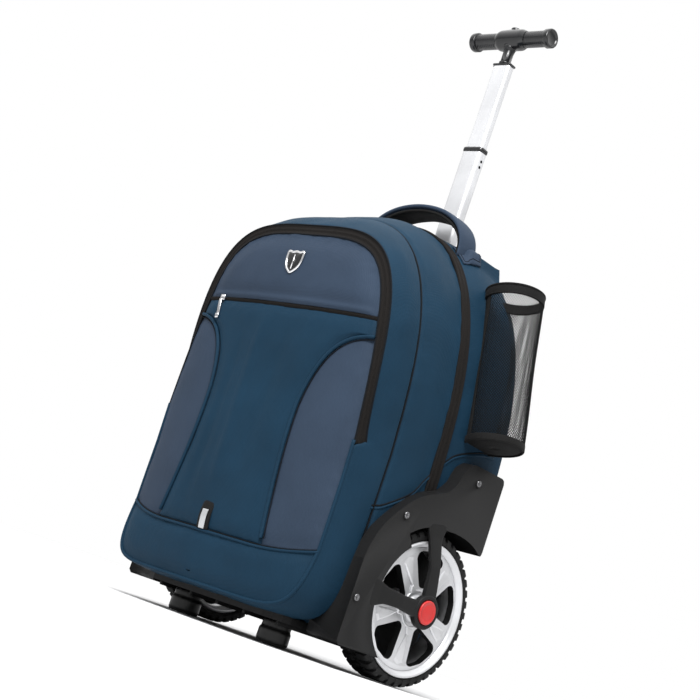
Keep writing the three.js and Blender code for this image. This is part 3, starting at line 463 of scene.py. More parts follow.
zip_rear_xz = outline_of(STATIONS["zip_rear"])
face_xz = inset(zip_rear_xz, zip_inset(zip_rear_xz[:, 1]))
face_angle = np.arctan2(face_xz[:, 1] - WAIST_Z, face_xz[:, 0])
face_radius = np.hypot(face_xz[:, 0], face_xz[:, 1] - WAIST_Z)
face_order = np.argsort(face_angle)


def face_share(x, z):
    reach = np.interp(np.arctan2(z - WAIST_Z, x), face_angle[face_order], face_radius[face_order],
                      period=2 * math.pi)
    return np.hypot(x, z - WAIST_Z) / reach


def face_y(x, z):
    up = np.clip((z - BAG_BOTTOM) / BAG_HEIGHT, 0, 1)
    share = np.clip(face_share(x, z), 0, 1)
    return BAG_FRONT + 23 * np.interp(up, CROWN_UP, CROWN) * (x / HALF_WIDTH) ** 2 + 4 * share ** 8


face_ring = np.stack([face_xz[:, 0], face_y(face_xz[:, 0], face_xz[:, 1]), face_xz[:, 1]], 1)


def face_half_width(z):
    """Half the width of the front face at a height."""
    right = face_xz[:, 0] > 0
    zs, xs = face_xz[right, 1], face_xz[right, 0]
    order = np.argsort(zs)
    return np.interp(z, zs[order], xs[order])


def blend_rings(rings, shares, count):
    """Rings between the given ones, smooth from front to back. shares are where the given rings lie."""
    rings = np.asarray(rings)
    out = []
    for t in np.linspace(0, 1, count):
        i = min(max(np.searchsorted(shares, t) - 1, 0), len(shares) - 2)
        before, after = max(i - 1, 0), min(i + 2, len(rings) - 1)
        span = shares[i + 1] - shares[i]
        u = (t - shares[i]) / span
        slope_a = (rings[i + 1] - rings[before]) / (shares[i + 1] - shares[before])
        slope_b = (rings[after] - rings[i]) / (shares[after] - shares[i])
        out.append((2 * u ** 3 - 3 * u ** 2 + 1) * rings[i] + (u ** 3 - 2 * u ** 2 + u) * span * slope_a
                   + (3 * u ** 2 - 2 * u ** 3) * rings[i + 1] + (u ** 3 - u ** 2) * span * slope_b)
    return np.array(out)


# Front compartment: the gusset between the front face and the seam

def gusset_grid():
    rear = ring_of("zip_rear")
    band = ease(rear[:, 2], FRONT_ZIP_FOOT - 6, FRONT_ZIP_FOOT + 6)[:, None]
    start = face_ring * (1 - band) + rear * band
    swell = ring_of("front_swell")
    rings = [start, start * 0.79 + swell * 0.21, swell, ring_of("seam")]
    grid = blend_rings(rings, [0, 0.22, 0.6, 1], 30)
    normal = grid_normals(grid, True, from_middle)
    t = np.linspace(0, 1, len(grid))[:, None]
    sag = 1.6 * ripple(grid, 62, 3.1) + 0.8 * ripple(grid, 26, 7.7)
    puff = 2.2 * np.sin(math.pi * t) ** 0.7
    tuck = 3.2 * np.exp(-((1 - t) / 0.035) ** 2) + 1.4 * np.exp(-(t / 0.03) ** 2)
    gathers = 0.8 * ripple(grid, 12, 2.9) * (np.exp(-((1 - t) / 0.2) ** 2) + np.exp(-(t / 0.18) ** 2))
    return grid + normal * ((sag + gathers) * np.sin(math.pi * t) ** 0.5 + puff - tuck)[..., None]


gusset = piece("front_gusset", *shell_mesh(gusset_grid(), 2, True, from_middle), "bag", navy, "navy_cloth",
               ["front_compartment"])


# Main compartment: one closed form, with room for the wheels and the pole cut out

SHOULDER = dict(half=92, front=-6, back=57, top=BAG_TOP - 12)


def main_grid():
    seam = ring_of("seam") + [0, 0.6, 0]
    back = ring_of("back_edge")
    back_xz = inset(back[:, [0, 2]], 9)
    back_inner = np.stack([back_xz[:, 0], back[:, 1] + 4, back_xz[:, 1]], 1)
    given = [seam, ring_of("main_swell"), ring_of("main_zip"), ring_of("rear_swell"), back, back_inner]
    grid = blend_rings(given, [0, 0.2, 0.45, 0.75, 0.95, 1], 72)
    t = np.linspace(0, 1, 72)[:, None]
    normal = grid_normals(grid, True, from_middle)
    swell = 1.4 * ripple(grid, 75, 1.3) + 0.6 * ripple(grid, 30, 5.5)
    swell = swell * np.sin(math.pi * np.clip(t, 0, 1)) ** 0.5
    puff = 2.0 * np.sin(math.pi * np.clip(t / 0.4, 0, 1))
    puff = puff + 1.5 * np.sin(math.pi * np.clip((t - 0.5) / 0.45, 0, 1))
    tuck = 3.4 * np.exp(-(t / 0.018) ** 2)
    gathers = np.exp(-(t / 0.08) ** 2) + np.exp(-((t - 0.41) / 0.05) ** 2) + np.exp(-((t - 0.5) / 0.05) ** 2)
    swell = swell + 0.8 * ripple(grid, 13, 6.6) * gathers
    grid = grid + normal * (swell + puff - tuck)[..., None]
    # The squared shoulders behind the carry handle
    x, y, z = grid[..., 0], grid[..., 1], grid[..., 2]
    inside = ease(y, SHOULDER["front"] - 5, SHOULDER["front"] + 1)
    inside = inside * ease(-y, -SHOULDER["back"] - 5, -SHOULDER["back"] + 1)
    within = ease(-np.abs(x), -SHOULDER["half"] - 5, -SHOULDER["half"] + 1)
    lifted = np.maximum(z, SHOULDER["top"])
    grid[..., 2] = z + (lifted - z) * inside * within * (z > SHOULDER["top"] - 60)
    back_rows = []
    for share in (0.985, 0.94, 0.86, 0.74, 0.6, 0.45, 0.3, 0.15, 0.03):
        row = grid[-1] * share + np.array([0, 0, WAIST_Z]) * (1 - share)
        row[:, 1] = back_y(row[:, 2]) + (grid[-1][:, 1] - back_y(grid[-1][:, 2])) * share ** 12
        back_rows.append(row)
    return np.concatenate([grid, back_rows])


def cut(obj, cutter, operation="DIFFERENCE"):
    """A boolean cut, applied; the cutter is removed."""
    modifier = obj.modifiers.new("cut", "BOOLEAN")
    modifier.operation = operation
    modifier.solver = "EXACT"
    modifier.object = cutter
    apply_modifiers(obj)
    bpy.data.objects.remove(cutter, do_unlink=True)


def apply_modifiers(obj):
    graph = bpy.context.evaluated_depsgraph_get()
    graph.update()
    made = bpy.data.meshes.new_from_object(obj.evaluated_get(graph))
    old = obj.data
    obj.modifiers.clear()
    obj.data = made
    bpy.data.meshes.remove(old)


def scratch(points, faces):
    return mesh_object("scratch", points, faces)


def prism(outline, low, high, axis=0):
    """A closed prism of an outline along an axis."""
    n = len(outline)
    points = [np.insert(np.asarray(p, float), axis, end) for end in (low, high) for p in outline]
    faces = [(i, (i + 1) % n, n + (i + 1) % n, n + i) for i in range(n)]
    return np.array(points), faces + [tuple(range(n))[::-1], tuple(range(n, 2 * n))]


def rounded(width, depth, radius, steps=6):
    points = []
    for sx, sy, quarter in ((1, 1, 0), (-1, 1, 1), (-1, -1, 2), (1, -1, 3)):
        for i in range(steps + 1):
            a = (quarter + i / steps) * math.pi / 2
            points.append((sx * (width / 2 - radius) + radius * math.cos(a),
                           sy * (depth / 2 - radius) + radius * math.sin(a)))
    return np.array(points)


GUARD_FRONT = -1.313 * WHEEL_RADIUS
GUARD_BACK = 0.828 * WHEEL_RADIUS
GUARD_FOOT = 25
GUARD_TOP = 3 * WHEEL_RADIUS
MUDGUARD_FOOT = 1.9 * WHEEL_RADIUS
ARCH = WHEEL_RADIUS + 6


def wheel_space(grow=0.0, steps=40):
    """The wheel's room in side view: round in front and above, open behind and below."""
    r = ARCH + grow
    points = [(-r, -60.0)]
    for i in range(steps + 1):
        a = math.pi - i / steps * math.pi / 2
        points.append((r * math.cos(a), WHEEL_RADIUS + r * math.sin(a)))
    p0, p1 = np.array([0.0, WHEEL_RADIUS + r]), np.array([GUARD_BACK * 0.7, WHEEL_RADIUS + r + 4])
    p2 = np.array([GUARD_BACK, MUDGUARD_FOOT + grow])
    for i in range(1, 15):
        t = i / 16
        points.append(tuple(quadratic(p0, p1, p2, t)))
    q0, q2 = np.array(points[-1]), p2 + [0, 11]
    for i in range(1, 9):
        t = i / 8
        points.append(tuple(quadratic(q0, p2, q2, t)))
    points += [(GUARD_BACK + 70, q2[1]), (GUARD_BACK + 70, -60)]
    return points


POLE_Y = 39
main_form = piece("main_bag", *capped(main_grid()), "bag", navy, "navy_cloth", ["main_compartment"])
for side in (1, -1):
    well = prism(wheel_space(2.8), 130, 240)
    cut(main_form, scratch(*sided(well, side)))
tube_room = rounded(38.6, 22.6, 7) + [0, POLE_Y]
cut(main_form, scratch(*prism(tube_room, 40, 620, axis=2)))
main_form.data.shade_smooth()
main_form.data.set_sharp_from_angle(angle=SHARP_EDGE)


def strip_grid(front, rear, profile, foot):
    """A strip between two rings with a raised profile (share across, height), kept above its foot."""
    keep = np.where((front[:, 2] + rear[:, 2]) / 2 > foot)[0]
    # The kept points run from one foot over the top to the other
    half = len(front) // 2
    order = [i % len(front) for i in range(-half, half) if (i % len(front)) in set(keep.tolist())]
    a, b = front[order], rear[order]
    grid = np.stack([a + (b - a) * t for t, _ in profile])
    normal = grid_normals(grid, False, from_middle)
    mid = normal[len(profile) // 2][None]
    return grid + mid * np.array([h for _, h in profile])[:, None, None]


ZIP_HALF = [(0.0, -2.0), (0.03, 0.2), (0.07, 0.75), (0.11, 0.75), (0.15, 0.1), (0.28, 0.0), (0.40, 0.1),
            (0.44, 0.55), (0.48, 0.7)]
ZIP_PROFILE = ZIP_HALF + [(0.5, 0.15)] + [(1 - t, h) for t, h in reversed(ZIP_HALF)]
front_band = strip_grid(face_ring, ring_of("zip_rear"), ZIP_PROFILE, FRONT_ZIP_FOOT - 4)
piece("front_zip", *shell_mesh(front_band, 1.4, False, from_middle), "bag", zip_tape, "black_webbing",
      ["front_zip_band"])

zip_ring = ring_of("main_zip")
main_band = strip_grid(zip_ring - [0, 9, 0], zip_ring + [0, 9, 0],
                       [(t, h * 1.2 + 1.6) for t, h in ZIP_PROFILE], MAIN_ZIP_FOOT)
piece("main_zip", *shell_mesh(main_band, 1.8, False, from_middle), "bag", zip_tape, "black_webbing",
      ["main_zip_band"])


# Front panels

def bezier(p0, p1, p2, p3, count):
    t = np.linspace(0, 1, count)[:, None]
    p0, p1, p2, p3 = (np.array(p, float) for p in (p0, p1, p2, p3))
    return (1 - t) ** 3 * p0 + 3 * t * (1 - t) ** 2 * p1 + 3 * t * t * (1 - t) * p2 + t ** 3 * p3


panel_height = SIDE_PANEL_TOP - LOWER_PANEL_TOP
panel_waist = SIDE_PANEL_TOP - 0.364 * panel_height
side_curve = np.vstack([
    bezier((150, SIDE_PANEL_TOP), (112, SIDE_PANEL_TOP - 4), (84, SIDE_PANEL_TOP - 0.1 * panel_height),
           (76, panel_waist), 60),
    bezier((76, panel_waist), (74, panel_waist - 0.2 * panel_height),
           (82, panel_waist - 0.434 * panel_height), (98, 58), 60)[1:],
])
seam_bezier = bezier((60, LOWER_PANEL_TOP), (100, LOWER_PANEL_TOP), (141, LOWER_PANEL_TOP), (211, 132), 80)


def lower_seam(x):
    return np.interp(np.abs(x), np.concatenate([[0], seam_bezier[:, 0]]),
                     np.concatenate([[LOWER_PANEL_TOP], seam_bezier[:, 1]]))


def face_points(x, z, rise):
    """Points on the front face, raised towards the front."""
    y = face_y(x, z)
    return np.stack([x, y - rise, z], -1)


def filled(distance, width):
    """From 0 at a sewn edge to 1 a few widths away."""
    return 1 - np.exp(-(distance / width) ** 2)


def edge_distance(x, z, border):
    """Distance from each point to the nearest point of a border."""
    p = np.stack([x, z], -1).reshape(-1, 1, 2)
    best = np.full(len(p), 1e9)
    for i in range(0, len(border), 60):
        d = np.linalg.norm(p - border[None, i:i + 60], axis=2).min(1)
        best = np.minimum(best, d)
    return best.reshape(x.shape)


def puckers(points, distance, reach, seed):
    """Small gathers that die away from a seam."""
    return 0.7 * ripple(points, 10, seed) * np.exp(-(distance / reach) ** 2)


def panel(name, x, z, rise, material, slot, replaces, closed=False):
    grid = face_points(x, z, rise)
    made = piece(name, *shell_mesh(grid, 2, closed, front_side), "bag", material, slot, replaces)
    return made


curve = even(side_curve[side_curve[:, 1] > LOWER_PANEL_TOP - 1], 110, False)
rows_z = np.concatenate([np.linspace(TOP_PANEL_FOOT - 4.6, SIDE_PANEL_TOP + 1, 14), curve[:, 1]])
rows_x = np.concatenate([face_half_width(rows_z[:14]) - 1, curve[:, 0]])


def center_panel():
    u = np.linspace(-1, 1, 121)
    u = np.sign(u) * (1 - (1 - np.abs(u)) ** 1.25)
    x = u[None] * rows_x[:, None]
    low = ease(-rows_z, -LOWER_PANEL_TOP - 30, -LOWER_PANEL_TOP)[:, None]
    z = rows_z[:, None] + (lower_seam(x) - LOWER_PANEL_TOP) * low
    sides = np.abs(rows_x[:, None]) - np.abs(x)
    top, foot = z[:1] - z, z - z[-1:]
    p = np.stack([x, np.zeros_like(x), z], -1)
    rise = 3.2 * filled(sides, 12) * filled(top, 9) * filled(foot, 11)
    rise += 0.9 * ripple(p, 55, 2.2) + 0.35 * ripple(p, 20, 9.1)
    rise += 2.4 * np.exp(-((x + 14 + 0.05 * (z - 250)) / 9) ** 2) * ease(z, 130, 200) * ease(-z, -375, -320)
    rise -= 1.9 * np.exp(-((x - 24) / 12) ** 2) * ease(z, 150, 220) * ease(-z, -370, -300)
    rise -= 1.6 * np.exp(-((x + 46) / 8) ** 2) * ease(z, 110, 180) * ease(-z, -360, -280)
    rise -= 2.2 * np.exp(-(np.minimum(np.minimum(sides, top), foot) / 2.2) ** 2)
    rise += puckers(p, np.minimum(top, foot), 14, 3.3)
    return panel("center_panel", x, z, rise, navy, "navy_cloth", ["front_center_panel"])


def side_panel(name, sign):
    u = np.linspace(0, 1, 61)
    z_row, x_in = curve[:, 1], curve[:, 0]
    x_out = face_half_width(z_row)
    x = x_in[:, None] + (x_out - x_in)[:, None] * u[None]
    low = ease(-z_row, -LOWER_PANEL_TOP - 30, -LOWER_PANEL_TOP)[:, None]
    z = z_row[:, None] + (lower_seam(x) - LOWER_PANEL_TOP) * low
    d_in = edge_distance(x, z, curve)
    p = np.stack([sign * x, np.zeros_like(x), z], -1)
    rise = 2.4 * filled(x_out[:, None] - x, 10) * filled(z - z[-1:], 12) - 3.8 * np.exp(-d_in / 16)
    rise += 0.8 * ripple(p, 50, 4.4) + puckers(p, x_out[:, None] - x, 12, 1.7)
    return panel(f"side_panel_{name}", sign * x, z, rise, slate, "slate_cloth", [f"front_side_panel_{name}"])


def radial_panel(border, middle, steps=26):
    shares = np.linspace(0.02, 1, steps)
    x = middle[0] + (border[:, 0] - middle[0])[None] * shares[:, None]
    z = middle[1] + (border[:, 1] - middle[1])[None] * shares[:, None]
    return x, z


def rim_part(first, kept):
    """The front face's rim in order, from an index on, where it is kept."""
    order = [i % RING for i in range(first, first + RING)]
    return face_xz[[i for i in order if kept[i]]]


def top_panel():
    arc = rim_part(-RING // 2, face_xz[:, 1] > TOP_PANEL_FOOT)
    foot_z = TOP_PANEL_FOOT - 2.2
    foot_half = face_half_width(TOP_PANEL_FOOT)
    foot = np.stack([np.linspace(foot_half, -foot_half, 90), np.full(90, foot_z)], 1)
    x, z = radial_panel(even(np.vstack([arc, foot]), 280, True), (0, 420), 44)
    from_arc, from_foot = edge_distance(x, z, arc), z - foot_z
    p = np.stack([x, np.zeros_like(x), z], -1)
    rise = 6.0 * filled(from_arc, 17) * filled(from_foot, 15)
    rise += 0.9 * ripple(p, 60, 6.1) + 0.3 * ripple(p, 22, 1.9) + puckers(p, from_arc, 14, 5.9)
    rise += 2.4 * np.exp(-((from_foot - 4) / 4) ** 2) * ease(from_arc, 1, 14)
    return panel("top_panel", x, z, rise, slate, "slate_cloth", ["front_top_panel"], closed=True)


def lower_panel():
    path = rim_part(0, face_xz[:, 1] < lower_seam(face_xz[:, 0]) - 1)
    seam_x = np.linspace(path[-1, 0], path[0, 0], 120)
    seam = np.stack([seam_x, lower_seam(seam_x) - 0.6], 1)
    x, z = radial_panel(even(np.vstack([seam, path]), 320, True), (0, 48), 40)
    from_rim, from_seam = edge_distance(x, z, path), np.maximum(lower_seam(x) - z, 0)
    p = np.stack([x, np.zeros_like(x), z], -1)
    rise = 3.4 * filled(from_rim, 12) * filled(from_seam, 10) + 0.7 * ripple(p, 45, 8.8)
    rise += puckers(p, from_seam, 12, 4.1)
    return panel("lower_panel", x, z, rise, navy, "navy_cloth", ["front_lower_panel"], closed=True)


center_panel()
for name, side in SIDES.items():
    side_panel(name, side)
top_panel()
lower_panel()

# Small shapes

def block(middle, size, radius, turn=None, segments=3):
    """A box with rounded edges, as points and faces."""
    bm = bmesh.new()
    bmesh.ops.create_cube(bm, size=1)
    bmesh.ops.scale(bm, vec=size, verts=bm.verts)
    if radius > 0:
        bmesh.ops.bevel(bm, geom=bm.edges[:], offset=radius, segments=segments, profile=0.5, affect="EDGES")
    matrix = Matrix.Translation(middle) @ (turn.to_4x4() if turn else Matrix())
    points = [tuple(matrix @ v.co) for v in bm.verts]
    faces = [tuple(v.index for v in f.verts) for f in bm.faces]
    bm.free()
    return np.array(points), faces


def lathe(profile, sides=64, middle=(0, 0, 0), axis="x"):
    """A body turned about an axis. Its (along, radius) profile closes on itself or ends at the axis."""
    p = np.asarray(profile, float)
    a = angles(sides)
    along = np.repeat(p[:, :1], sides, 1)
    u, v = p[:, 1:] * np.cos(a), p[:, 1:] * np.sin(a)
    order = (along, u, v) if axis == "x" else (u, v, along)
    grid = np.stack(order, -1) + np.asarray(middle, float)
    return looped(grid[:-1]) if np.allclose(p[0], p[-1]) else capped(grid)


def arc_profile(points, radius, steps=4):
    """A (along, radius) profile whose inner corners are rounded."""
    p = [np.array(q, float) for q in points]
    out = [p[0]]
    for i in range(1, len(p) - 1):
        a, b, c = p[i - 1], p[i], p[i + 1]
        r = min(radius, np.linalg.norm(a - b) * 0.45, np.linalg.norm(c - b) * 0.45)
        start, end = b + unit(a - b) * r, b + unit(c - b) * r
        for t in np.linspace(0, 1, steps + 1):
            out.append(quadratic(start, b, end, t))
    out.append(p[-1])
    return out


def bevelled(obj, width, segments=2, angle=32):
    modifier = obj.modifiers.new("edges", "BEVEL")
    modifier.width = width * MM
    modifier.segments = segments
    modifier.limit_method = "ANGLE"
    modifier.angle_limit = math.radians(angle)
    return obj


def surface_tree(*objects):
    """The outside of some pieces, for laying others on them."""
    points, faces = [], []
    for obj in objects:
        count = len(points)
        points += [v.co.copy() for v in obj.data.vertices]
        faces += [tuple(i + count for i in p.vertices) for p in obj.data.polygons]
    return BVHTree.FromPolygons(points, faces)


def landed(tree, points, direction, lift):
    """Points moved along a direction until they meet the surface, and lifted off it."""
    out = []
    heading = Vector(direction)
    for p in place(points):
        hit = tree.ray_cast(Vector(p) - heading * 0.4, heading)
        at, normal = (hit[0], hit[1]) if hit[0] else (Vector(p), -heading)
        q = at + normal * lift * MM
        out.append(((q.x) / MM, (q.y - AXLE_Y) / MM, q.z / MM))
    return np.array(out)


# Seams, piping and lips on the bag; the dark cords beside the curved lips are partly painted shade

def above_foot(ring, foot):
    half = len(ring) // 2
    return ring[[i % len(ring) for i in range(-half, half) if ring[i % len(ring), 2] > foot]]


def below_foot(ring, foot):
    return ring[[i for i in range(len(ring)) if ring[i, 2] < foot]]


def face_line(xz, rise):
    return face_points(xz[:, 0], xz[:, 1], rise)


def offset_line(xz, distance):
    tangent = unit(np.gradient(xz, axis=0))
    return xz + np.stack([tangent[:, 1], -tangent[:, 0]], 1) * distance


zip_rear_ring = ring_of("zip_rear")
outline_normal = grid_normals(np.stack([face_ring, zip_rear_ring]), True, from_middle)[0]
piece("front_edge_piping", *joined([
    cord_mesh(above_foot(face_ring + outline_normal * 0.4, FRONT_ZIP_FOOT - 3), 1.0, 8, up=(0, 1, 0)),
    cord_mesh(above_foot(zip_rear_ring + outline_normal * 0.8, FRONT_ZIP_FOOT - 3), 1.0, 8, up=(0, 1, 0)),
]), "bag", edging_and_shade, "black_webbing")
piece("front_edge_hem", *cord_mesh(
    below_foot(face_ring + outline_normal * -0.4 + [0, -0.6, 0], FRONT_ZIP_FOOT + 2), 2.0, 10, up=(0, 1, 0)),
    "bag", navy, "navy_cloth")
seam_ring = ring_of("seam")
seam_out = grid_normals(np.stack([seam_ring, seam_ring + [0, 5, 0]]), True, from_middle)[0]
piece("body_seam", *cord_mesh(seam_ring - seam_out * 1.5, 1.3, 8, closed=True, up=(0, 1, 0)), "bag", edging_and_shade,
      "black_webbing")


def face_cord(xz, rise, radius, sides):
    return cord_mesh(face_line(xz, rise), radius, sides, up=(0, -1, 0))


# Each curved edge has a navy lip with two near-black cords beside it, one in the groove on the centre panel and
# one on the side panel. The cords are partly the seam line and partly painted shade under and beside the lip.
lip_lines, lip_seams_and_shade = [], []
for side in (1, -1):
    line = side_curve[(side_curve[:, 1] > LOWER_PANEL_TOP + 6) & (side_curve[:, 0] < 151)]
    line = even(line, 150, False) * [side, 1]
    lip_lines.append(face_cord(offset_line(line, -0.6 * side), 1.0, 2.1, 10))
    lip_seams_and_shade.append(face_cord(offset_line(line, 2.0 * side), -1.4, 0.9, 6))
    lip_seams_and_shade.append(face_cord(offset_line(line, -4.4 * side), 0.55, 0.55, 6))
piece("curved_edge_lips", *joined(lip_lines), "bag", navy, "navy_cloth")
piece("curved_edge_seams_and_shade", *joined(lip_seams_and_shade), "bag", edging_and_shade, "black_webbing")

seam_x = np.linspace(-1, 1, 200) * (face_half_width(lower_seam(150)) + 1)
lower_line = np.stack([seam_x, lower_seam(seam_x)], 1)
piece("lower_panel_hem", *face_cord(lower_line - [0, 1.6], 0.8, 1.7, 8), "bag", navy,
      "navy_cloth")
piece("lower_panel_seam", *face_cord(lower_line + [0, 0.7], 0.3, 0.8, 6), "bag", edging_and_shade,
      "black_webbing")


def pocket_zip():
    profile = [(373.6, -2.0), (374.2, -0.4), (375.4, -0.1), (376.0, 0.5), (376.8, 0.9), (377.2, 0.3),
               (377.6, 0.9), (378.4, 0.5), (379.0, -0.1), (380.6, -0.4), (381.4, -2.0)]
    u = np.linspace(-1, 1, 160)
    z = np.repeat(np.array([[p[0]] for p in profile]), 160, 1)
    x = u[None] * (face_half_width(z) - 0.6)
    grid = face_points(x, z, np.array([[p[1]] for p in profile]))
    piece("pocket_zip", *shell_mesh(grid, 1.2, False, front_side), "bag", zip_tape, "black_webbing",
          ["front_pocket_zip"])


pocket_zip()
# The front pocket's back wall, 5.5 mm behind the panels, is near-black rather than navy: painted shade where it
# shows through the gaps between the panels.
pocket_wall_x, pocket_wall_z = radial_panel(face_xz * 0.97 + [0, WAIST_Z * 0.03], (0, WAIST_Z), 8)
piece("pocket_back", *shell_mesh(face_points(pocket_wall_x, pocket_wall_z, -5.5), 1.5, True, front_side),
      "bag", edging_and_shade, "navy_cloth", ["front_pocket"])


def zip_pull():
    x = -112
    y = float(face_y(np.array([x]), np.array([370.0]))[0])
    slider = block((x, y - 2.6, 377), (8, 4.4, 7.5), 1.4)
    bridge = block((x, y - 5.0, 376), (3.2, 2.4, 6), 0.9)
    lean = Matrix.Rotation(math.radians(-9), 3, "Y") @ Matrix.Rotation(math.radians(3), 3, "X")
    tab = block((x + 1.7, y - 5.2, 362), (4.6, 1.8, 25), 0.8, lean)
    eye = block((x + 2.8, y - 5.4, 352.4), (5.6, 2.4, 6), 1.1, lean)
    piece("pocket_zip_pull", *joined([slider, bridge, tab, eye]), "bag", bright, "bright_metal",
          ["front_zip_pull"])


zip_pull()


BADGE_Z = 428.8


def badge():
    """A plain shield-shaped badge: a polished rim round a dark, slightly domed field."""
    half = [(0, 12.5), (6, 11.6), (12.5, 12.5), (13.2, 7), (12.6, 0), (10, -6.5), (5.5, -11), (0, -14)]
    outline = smooth_line(half + [(-x, z) for x, z in half[-2:0:-1]], 96, True)
    y = float(face_y(np.array([0.0]), np.array([430.0]))[0]) - 7.0
    rim = np.stack([outline[:, 0], np.full(96, y), outline[:, 1] + BADGE_Z], 1)
    piece("badge_rim", *cord_mesh(rim, 1.5, 10, closed=True, up=(0, -1, 0)), "bag", bright, "bright_metal",
          ["badge"])
    shares = [1, 0.96, 0.7, 0.35, 0.02]
    depth = [2.2, -0.4, -0.9, -1.2, -1.3]
    grid = np.stack([np.stack([outline[:, 0] * s, np.full(96, y + d), outline[:, 1] * s + BADGE_Z], 1)
                     for s, d in zip(shares, depth)])
    piece("badge_field", *shell_mesh(grid, 1.0, True, front_side), "bag", gloss, "bright_metal")
    ridge = np.stack([np.zeros(2), np.full(2, y - 0.9), np.array([437.0, 419.0])], 1)
    piece("badge_ridge", *cord_mesh(ridge, 0.9, 8, up=(0, -1, 0)), "bag", bright, "bright_metal")


badge()


def tag():
    u = np.linspace(-1, 1, 25)
    v = np.linspace(0, 1, 40)
    x = u[None] * 10 * (1 - 0.12 * np.clip((v[:, None] - 0.86) / 0.14, 0, 1) ** 2)
    z = LOWER_PANEL_TOP + 35 * v[:, None] - 1.5 * np.abs(u[None]) ** 6 * (v[:, None] > 0.9)
    rise = 2.6 + 2.2 * np.sin(math.pi * v[:, None]) - 1.0 * np.abs(u[None]) ** 8 + 0 * x
    piece("tag_webbing", *shell_mesh(face_points(x, z, rise), 1.6, False, front_side), "bag", webbing,
          "black_webbing", ["tag_loop"])
    x2 = u[None] * 4.6 + 0 * z
    rise2 = 3.4 + 2.2 * np.sin(math.pi * v[:26, None]) + 0 * x2[:26]
    strip = moulded("reflective_strip", (0.42, 0.43, 0.44), rough=0.35, metallic=0.5, bump_strength=0.2)
    piece("tag_strip", *shell_mesh(face_points(x2[:26], z[:26], rise2), 0.6, False, front_side), "bag", strip,
          "black_webbing")


tag()

side_tree = surface_tree(gusset, main_form)
side_seam_yz = smooth_line([(-118, 180), (-106, 183), (-90, 192), (-60, 212), (-40, 236), (-20, 260),
                            (0, 277), (40, 292), (66, 296)], 120)
for name, side in SIDES.items():
    flat = np.stack([np.full(120, float(side * HALF_WIDTH)), side_seam_yz[:, 0], side_seam_yz[:, 1]], 1)
    laid = landed(side_tree, flat, (-side, 0, 0), -0.2)
    piece(f"side_seam_{name}", *cord_mesh(laid, 1.1, 8, up=(side, 0, 0)), "bag", edging_and_shade, "black_webbing")
    laid_hem = landed(side_tree, flat - [0, 0, 3.0], (-side, 0, 0), -0.4)
    piece(f"side_hem_{name}", *cord_mesh(laid_hem, 1.7, 8, up=(side, 0, 0)), "bag", navy, "navy_cloth")


def side_pull():
    low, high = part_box("side_zip_pull")
    x, y, z = ((low[i] + high[i]) / 2 / MM for i in range(3))
    y -= AXLE_Y / MM
    a = angles(48)
    ring = np.stack([np.full(48, x), y + 6.6 * np.cos(a), z + 7 * np.sin(a)], 1)
    slider = block((x + 0.3, y - 0.5, z + 8.5), (2.6, 6, 6), 0.9)
    piece("side_pull", *joined([cord_mesh(ring, 1.2, 10, closed=True, up=(1, 0, 0)), slider]), "bag", bright,
          "bright_metal", ["side_zip_pull"])


side_pull()

# Carry handle

def top_z(x):
    station = STATIONS["rear_swell"]
    share = np.minimum(np.abs(x) / (station["width"] * HALF_WIDTH), 1)
    return WAIST_Z + (BAG_HEIGHT * station["top"] - WAIST_HEIGHT) * (1 - share ** 2.6) ** (1 / 2.6)


HANDLE_HALF = 83


def handle_half(low, high, width):
    """A layer of the handle between two heights of its section."""
    foot = float(top_z(HANDLE_HALF))
    rise = float(top_z(0.0)) - foot + 41
    a = np.linspace(0, math.pi, 90)
    x, z = -HANDLE_HALF * np.cos(a), foot + rise * np.sin(a) ** 0.8 - 6
    slope = np.cos(a) * 61 / HANDLE_HALF
    length = np.hypot(np.sin(a), slope)
    tx, tz = np.sin(a) / length, slope / length
    share = 1 - 0.45 * np.abs(np.cos(a)) ** 6
    b = angles(28)
    u = signed_power(np.cos(b), 0.45) * width / 2
    v = (high + low) / 2 + signed_power(np.sin(b), 0.6) * (high - low) / 2
    pinch = 1 - 0.1 * np.abs(np.cos(a))[:, None] ** 3
    vv = v[None] * share[:, None]
    grid = np.stack([x[:, None] - tz[:, None] * vv, -7 + u[None] * pinch, z[:, None] + tx[:, None] * vv], -1)
    return capped(grid + 0.5 * ripple(grid, 24, low)[..., None] * [0, 0.6, 1])


handle = piece("handle_top", *handle_half(-0.6, 6.2, 37), "bag", slate, "slate_cloth", ["carry_handle"])
lining = piece("handle_lining", *handle_half(-6, -0.4, 34), "bag", webbing, "black_webbing")
top_tree = surface_tree(main_form)
for name, side in SIDES.items():
    u, v = np.meshgrid(np.linspace(0, 1, 22), np.linspace(-1, 1, 26), indexing="ij")
    flat = np.stack([side * (72 + 25 * u), -4 + v * (16.5 - 1.5 * u), np.full(u.shape, 540.0)], -1)
    laid = landed(top_tree, flat, (0, 0, -1), 2.2).reshape(flat.shape)
    laid[..., 2] += 1.4 * (1 - u) ** 2
    piece(f"handle_base_{name}", *shell_mesh(laid, 2.4, False, facing(0.0, 0.0, 1.0)), "bag", slate,
          "slate_cloth")
    border = np.concatenate([laid[1, 2:-2], laid[2:-2, -3], laid[-3, -3:2:-1], laid[-3:2:-1, 2]])
    stitch = smooth_line(border, 120, True) + [0, 0, 0.2]
    piece(f"handle_stitch_{name}", *cord_mesh(stitch, 0.45, 5, closed=True), "bag", edging_and_shade, "black_webbing")


# Bottle pockets of open net

LEAN = math.radians(12)
POCKET_FOOT = np.array([HALF_WIDTH + 20, 30, BAG_BOTTOM + 0.521 * BAG_HEIGHT])
POCKET_RADIUS = 35.2
POCKET_HEIGHT = 196
NET_TOP = 190


